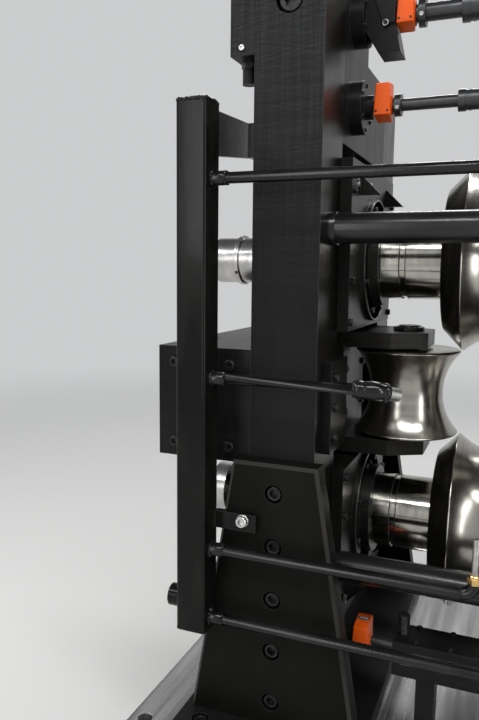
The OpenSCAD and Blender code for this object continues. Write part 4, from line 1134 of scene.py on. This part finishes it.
# Coolant pipes
# Small steel pipes in screwed sockets on the header, painted black by hand over the weld spatter.
# They run along the front of the stand and turn toward the rolls through welded elbows.
pipe = Finish("painted_pipe_black")
lumps = grain(pipe, (240, 240, 240), 4)
smooth = spread(grain(pipe, (12, 40, 40)), 0.35, 0.75)
pipe_black = shaded(pipe, {
    "Base Color": pipe.mix(smooth, (0.004, 0.004, 0.0043), (0.013, 0.013, 0.013)),
    "Specular IOR Level": 0.3,
    "Roughness": 0.12 + smooth * 0.14,
    "Normal": bumped(pipe, lumps, 0.00022),
    "Coat Weight": 0.08,
    "Coat Roughness": 0.08,
})
nozzle_steel = speckled(
    "nozzle_grey_steel", (130, 130, 130), 3, (0.3, 0.7),
    ((0.26, 0.25, 0.235), (0.44, 0.43, 0.41)), (0.28, 0.16), 0.95, lump=0.00006,
)
pipe_r, bore_r, socket_r, elbow_r = 0.0086, 0.0062, 0.0108, 0.016


def hose_ring(centre, along, radius, over, sides=32):
    """One ring of a pipe wall round centre; over is any direction square to along."""
    over = Vector(over)
    side = Vector(along).normalized().cross(over).normalized()
    return [
        tuple(Vector(centre) + over * a + side * b) for a, b, _ in circle(radius, 0, sides)
    ]


def header_end(z):
    """Rings of the screwed socket at the header and the pipe after it."""
    steps = ((0.0, socket_r), (0.0195, socket_r), (0.0210, 0.0100), (0.0222, pipe_r))
    return [
        hose_ring((tube_high.x + dx, tube_cy, z), (1, 0, 0), radius, (0, 1, 0))
        for dx, radius in steps
    ]


runs, beads = [], []
# height over the pass, where the elbow starts, which way it turns, length after the elbow
pipe_rows = ((0.356, 0.040, -1, 0.034), (-0.222, -0.036, 1, 0.0), (-0.337, 0.040, 1, 0.034))
for rise_z, end_x, turn_up, stub in pipe_rows:
    z = pass_z + rise_z
    rings = header_end(z)
    for i in range(9):
        turn = math.radians(90 * i / 8)
        along = (math.cos(turn), 0, turn_up * math.sin(turn))
        at = (end_x + elbow_r * math.sin(turn), tube_cy,
              z + turn_up * elbow_r * (1 - math.cos(turn)))
        rings.append(hose_ring(at, along, pipe_r + 0.0008 * math.sin(turn * 2), (0, 1, 0)))
    top_at = Vector((end_x + elbow_r, tube_cy, z + turn_up * (elbow_r + stub)))
    outward = Vector((0, 0, turn_up))
    if stub:
        for back, radius in ((0.0006, pipe_r), (0, pipe_r - 0.0006), (0, bore_r), (0.02, bore_r)):
            rings.append(hose_ring(top_at - outward * back, outward, radius, (0, 1, 0)))
    runs.append(skin(rings))
    beads.append(ring_weld((end_x, tube_cy, z), 0.0090, (1, 0, 0), 0.0014, 0.0016, 0.35))
    if stub:
        at = (top_at.x, tube_cy, z + turn_up * elbow_r)
        beads.append(ring_weld(at, 0.0090, (0, 0, 1), 0.0014, 0.0015, 0.35))

# the second pipe ends in a cast elbow that turns its nipple in and down toward the side roll
z = pass_z + 0.054
corner = Vector((-0.169, tube_cy, z))
aim_in, dip = math.radians(40), math.radians(12)
spray = Vector((
    math.cos(aim_in) * math.cos(dip), math.sin(aim_in) * math.cos(dip), -math.sin(dip)
))
run = Vector((1, 0, 0))
rings = header_end(z)
for dx, radius in ((-0.0260, pipe_r), (-0.0250, 0.0125), (-0.0235, 0.0136), (-0.0175, 0.0138),
                   (-0.0160, 0.0128)):
    rings.append(hose_ring(corner + run * dx, run, radius, (0, 0, 1)))
for i in range(1, 10):
    t = i / 10
    at = bend(t, corner - run * 0.014, corner, corner + spray * 0.014)
    along = run.lerp(spray, t).normalized()
    over = (Vector((0, 0, 1)) - along * along.z).normalized()
    rings.append(hose_ring(at, along, 0.0130 + 0.0012 * math.sin(math.pi * t), over))
over = (Vector((0, 0, 1)) - spray * spray.z).normalized()
for far, radius in ((0.0150, 0.0132), (0.0162, 0.0142), (0.0215, 0.0142), (0.0228, 0.0132),
                    (0.0228, 0.0090)):
    rings.append(hose_ring(corner + spray * far, spray, radius, over))
runs.append(skin(rings))
tip = [(0.0226, 0.0099), (0.0410, 0.0099), (0.0420, 0.0090), (0.0420, 0.0068), (0.0300, 0.0068)]
nipple = skin([hose_ring(corner + spray * far, spray, radius, over) for far, radius in tip])
made = piece("coolant_pipe_runs", runs, pipe_black, "stand_frame", 40)
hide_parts("coolant_pipes")
piece("side_roll_spray_nipple", [nipple], nozzle_steel, "stand_frame", 40)
for rise_z in (0.356, 0.054, -0.222, -0.337):
    for dx, radius, weld_r in ((0.0010, 0.0112, 0.0024), (0.0222, 0.0094, 0.0019)):
        at = (tube_high.x + dx, tube_cy, pass_z + rise_z)
        beads.append(ring_weld(at, radius, (1, 0, 0), 0.0015, weld_r, 0.36))
beads.append(ring_weld(corner - run * 0.0262, 0.0098, (1, 0, 0), 0.0014, 0.0028, 0.38))
piece("pipe_welds", beads, pipe_black, "stand_frame", 60)


# Brass riser
# Thin pale spray tube for the bottom roll in a hexagon brass compression nut, screwed into
# the upturned elbow of the third pipe.
brass = Finish("riser_brass")
tarnish = spread(grain(brass, (90, 90, 40), 4), 0.35, 0.75)
brass_metal = shaded(brass, {
    "Base Color": brass.mix(tarnish, (0.76, 0.52, 0.20), (0.52, 0.36, 0.16)),
    "Metallic": 1.0,
    "Roughness": 0.16 + tarnish * 0.2,
    "Normal": rounded(brass, 0.0006),
})
riser_low, riser_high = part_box("brass_riser")
riser_at = Vector((
    (riser_low.x + riser_high.x) / 2, (riser_low.y + riser_high.y) / 2, riser_low.z
))
riser_len, tube_r = riser_high.z - riser_low.z, 0.0048
nut = turned([(0.0088, 0), (0.0102, 0.0010), (0.0106, 0.002), (0.0106, 0.0085),
              (0.0098, 0.0096), (0.0078, 0.0100)], 6)
collar = turned([(0.0080, 0.0098), (0.0080, 0.0128), (0.0070, 0.0140), (0.0050, 0.0140)], 32)
made = piece(
    "brass_riser_nut", [placed(nut, riser_at, spin=0.26), placed(collar, riser_at)],
    brass_metal, "stand_frame", 28,
)
tube = skin([
    hose_ring(riser_at + Vector((0, 0, high)), (0, 0, 1), radius, (1, 0, 0))
    for high, radius in ((0.0130, tube_r), (riser_len - 0.0005, tube_r), (riser_len, 0.0044),
                         (riser_len, 0.0035), (riser_len - 0.02, 0.0035))
])
spray_tube = piece("riser_spray_tube", [tube], nozzle_steel, "stand_frame", 40)
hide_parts("brass_riser")
# the tube is held by its nut
spray_tube.parent = made
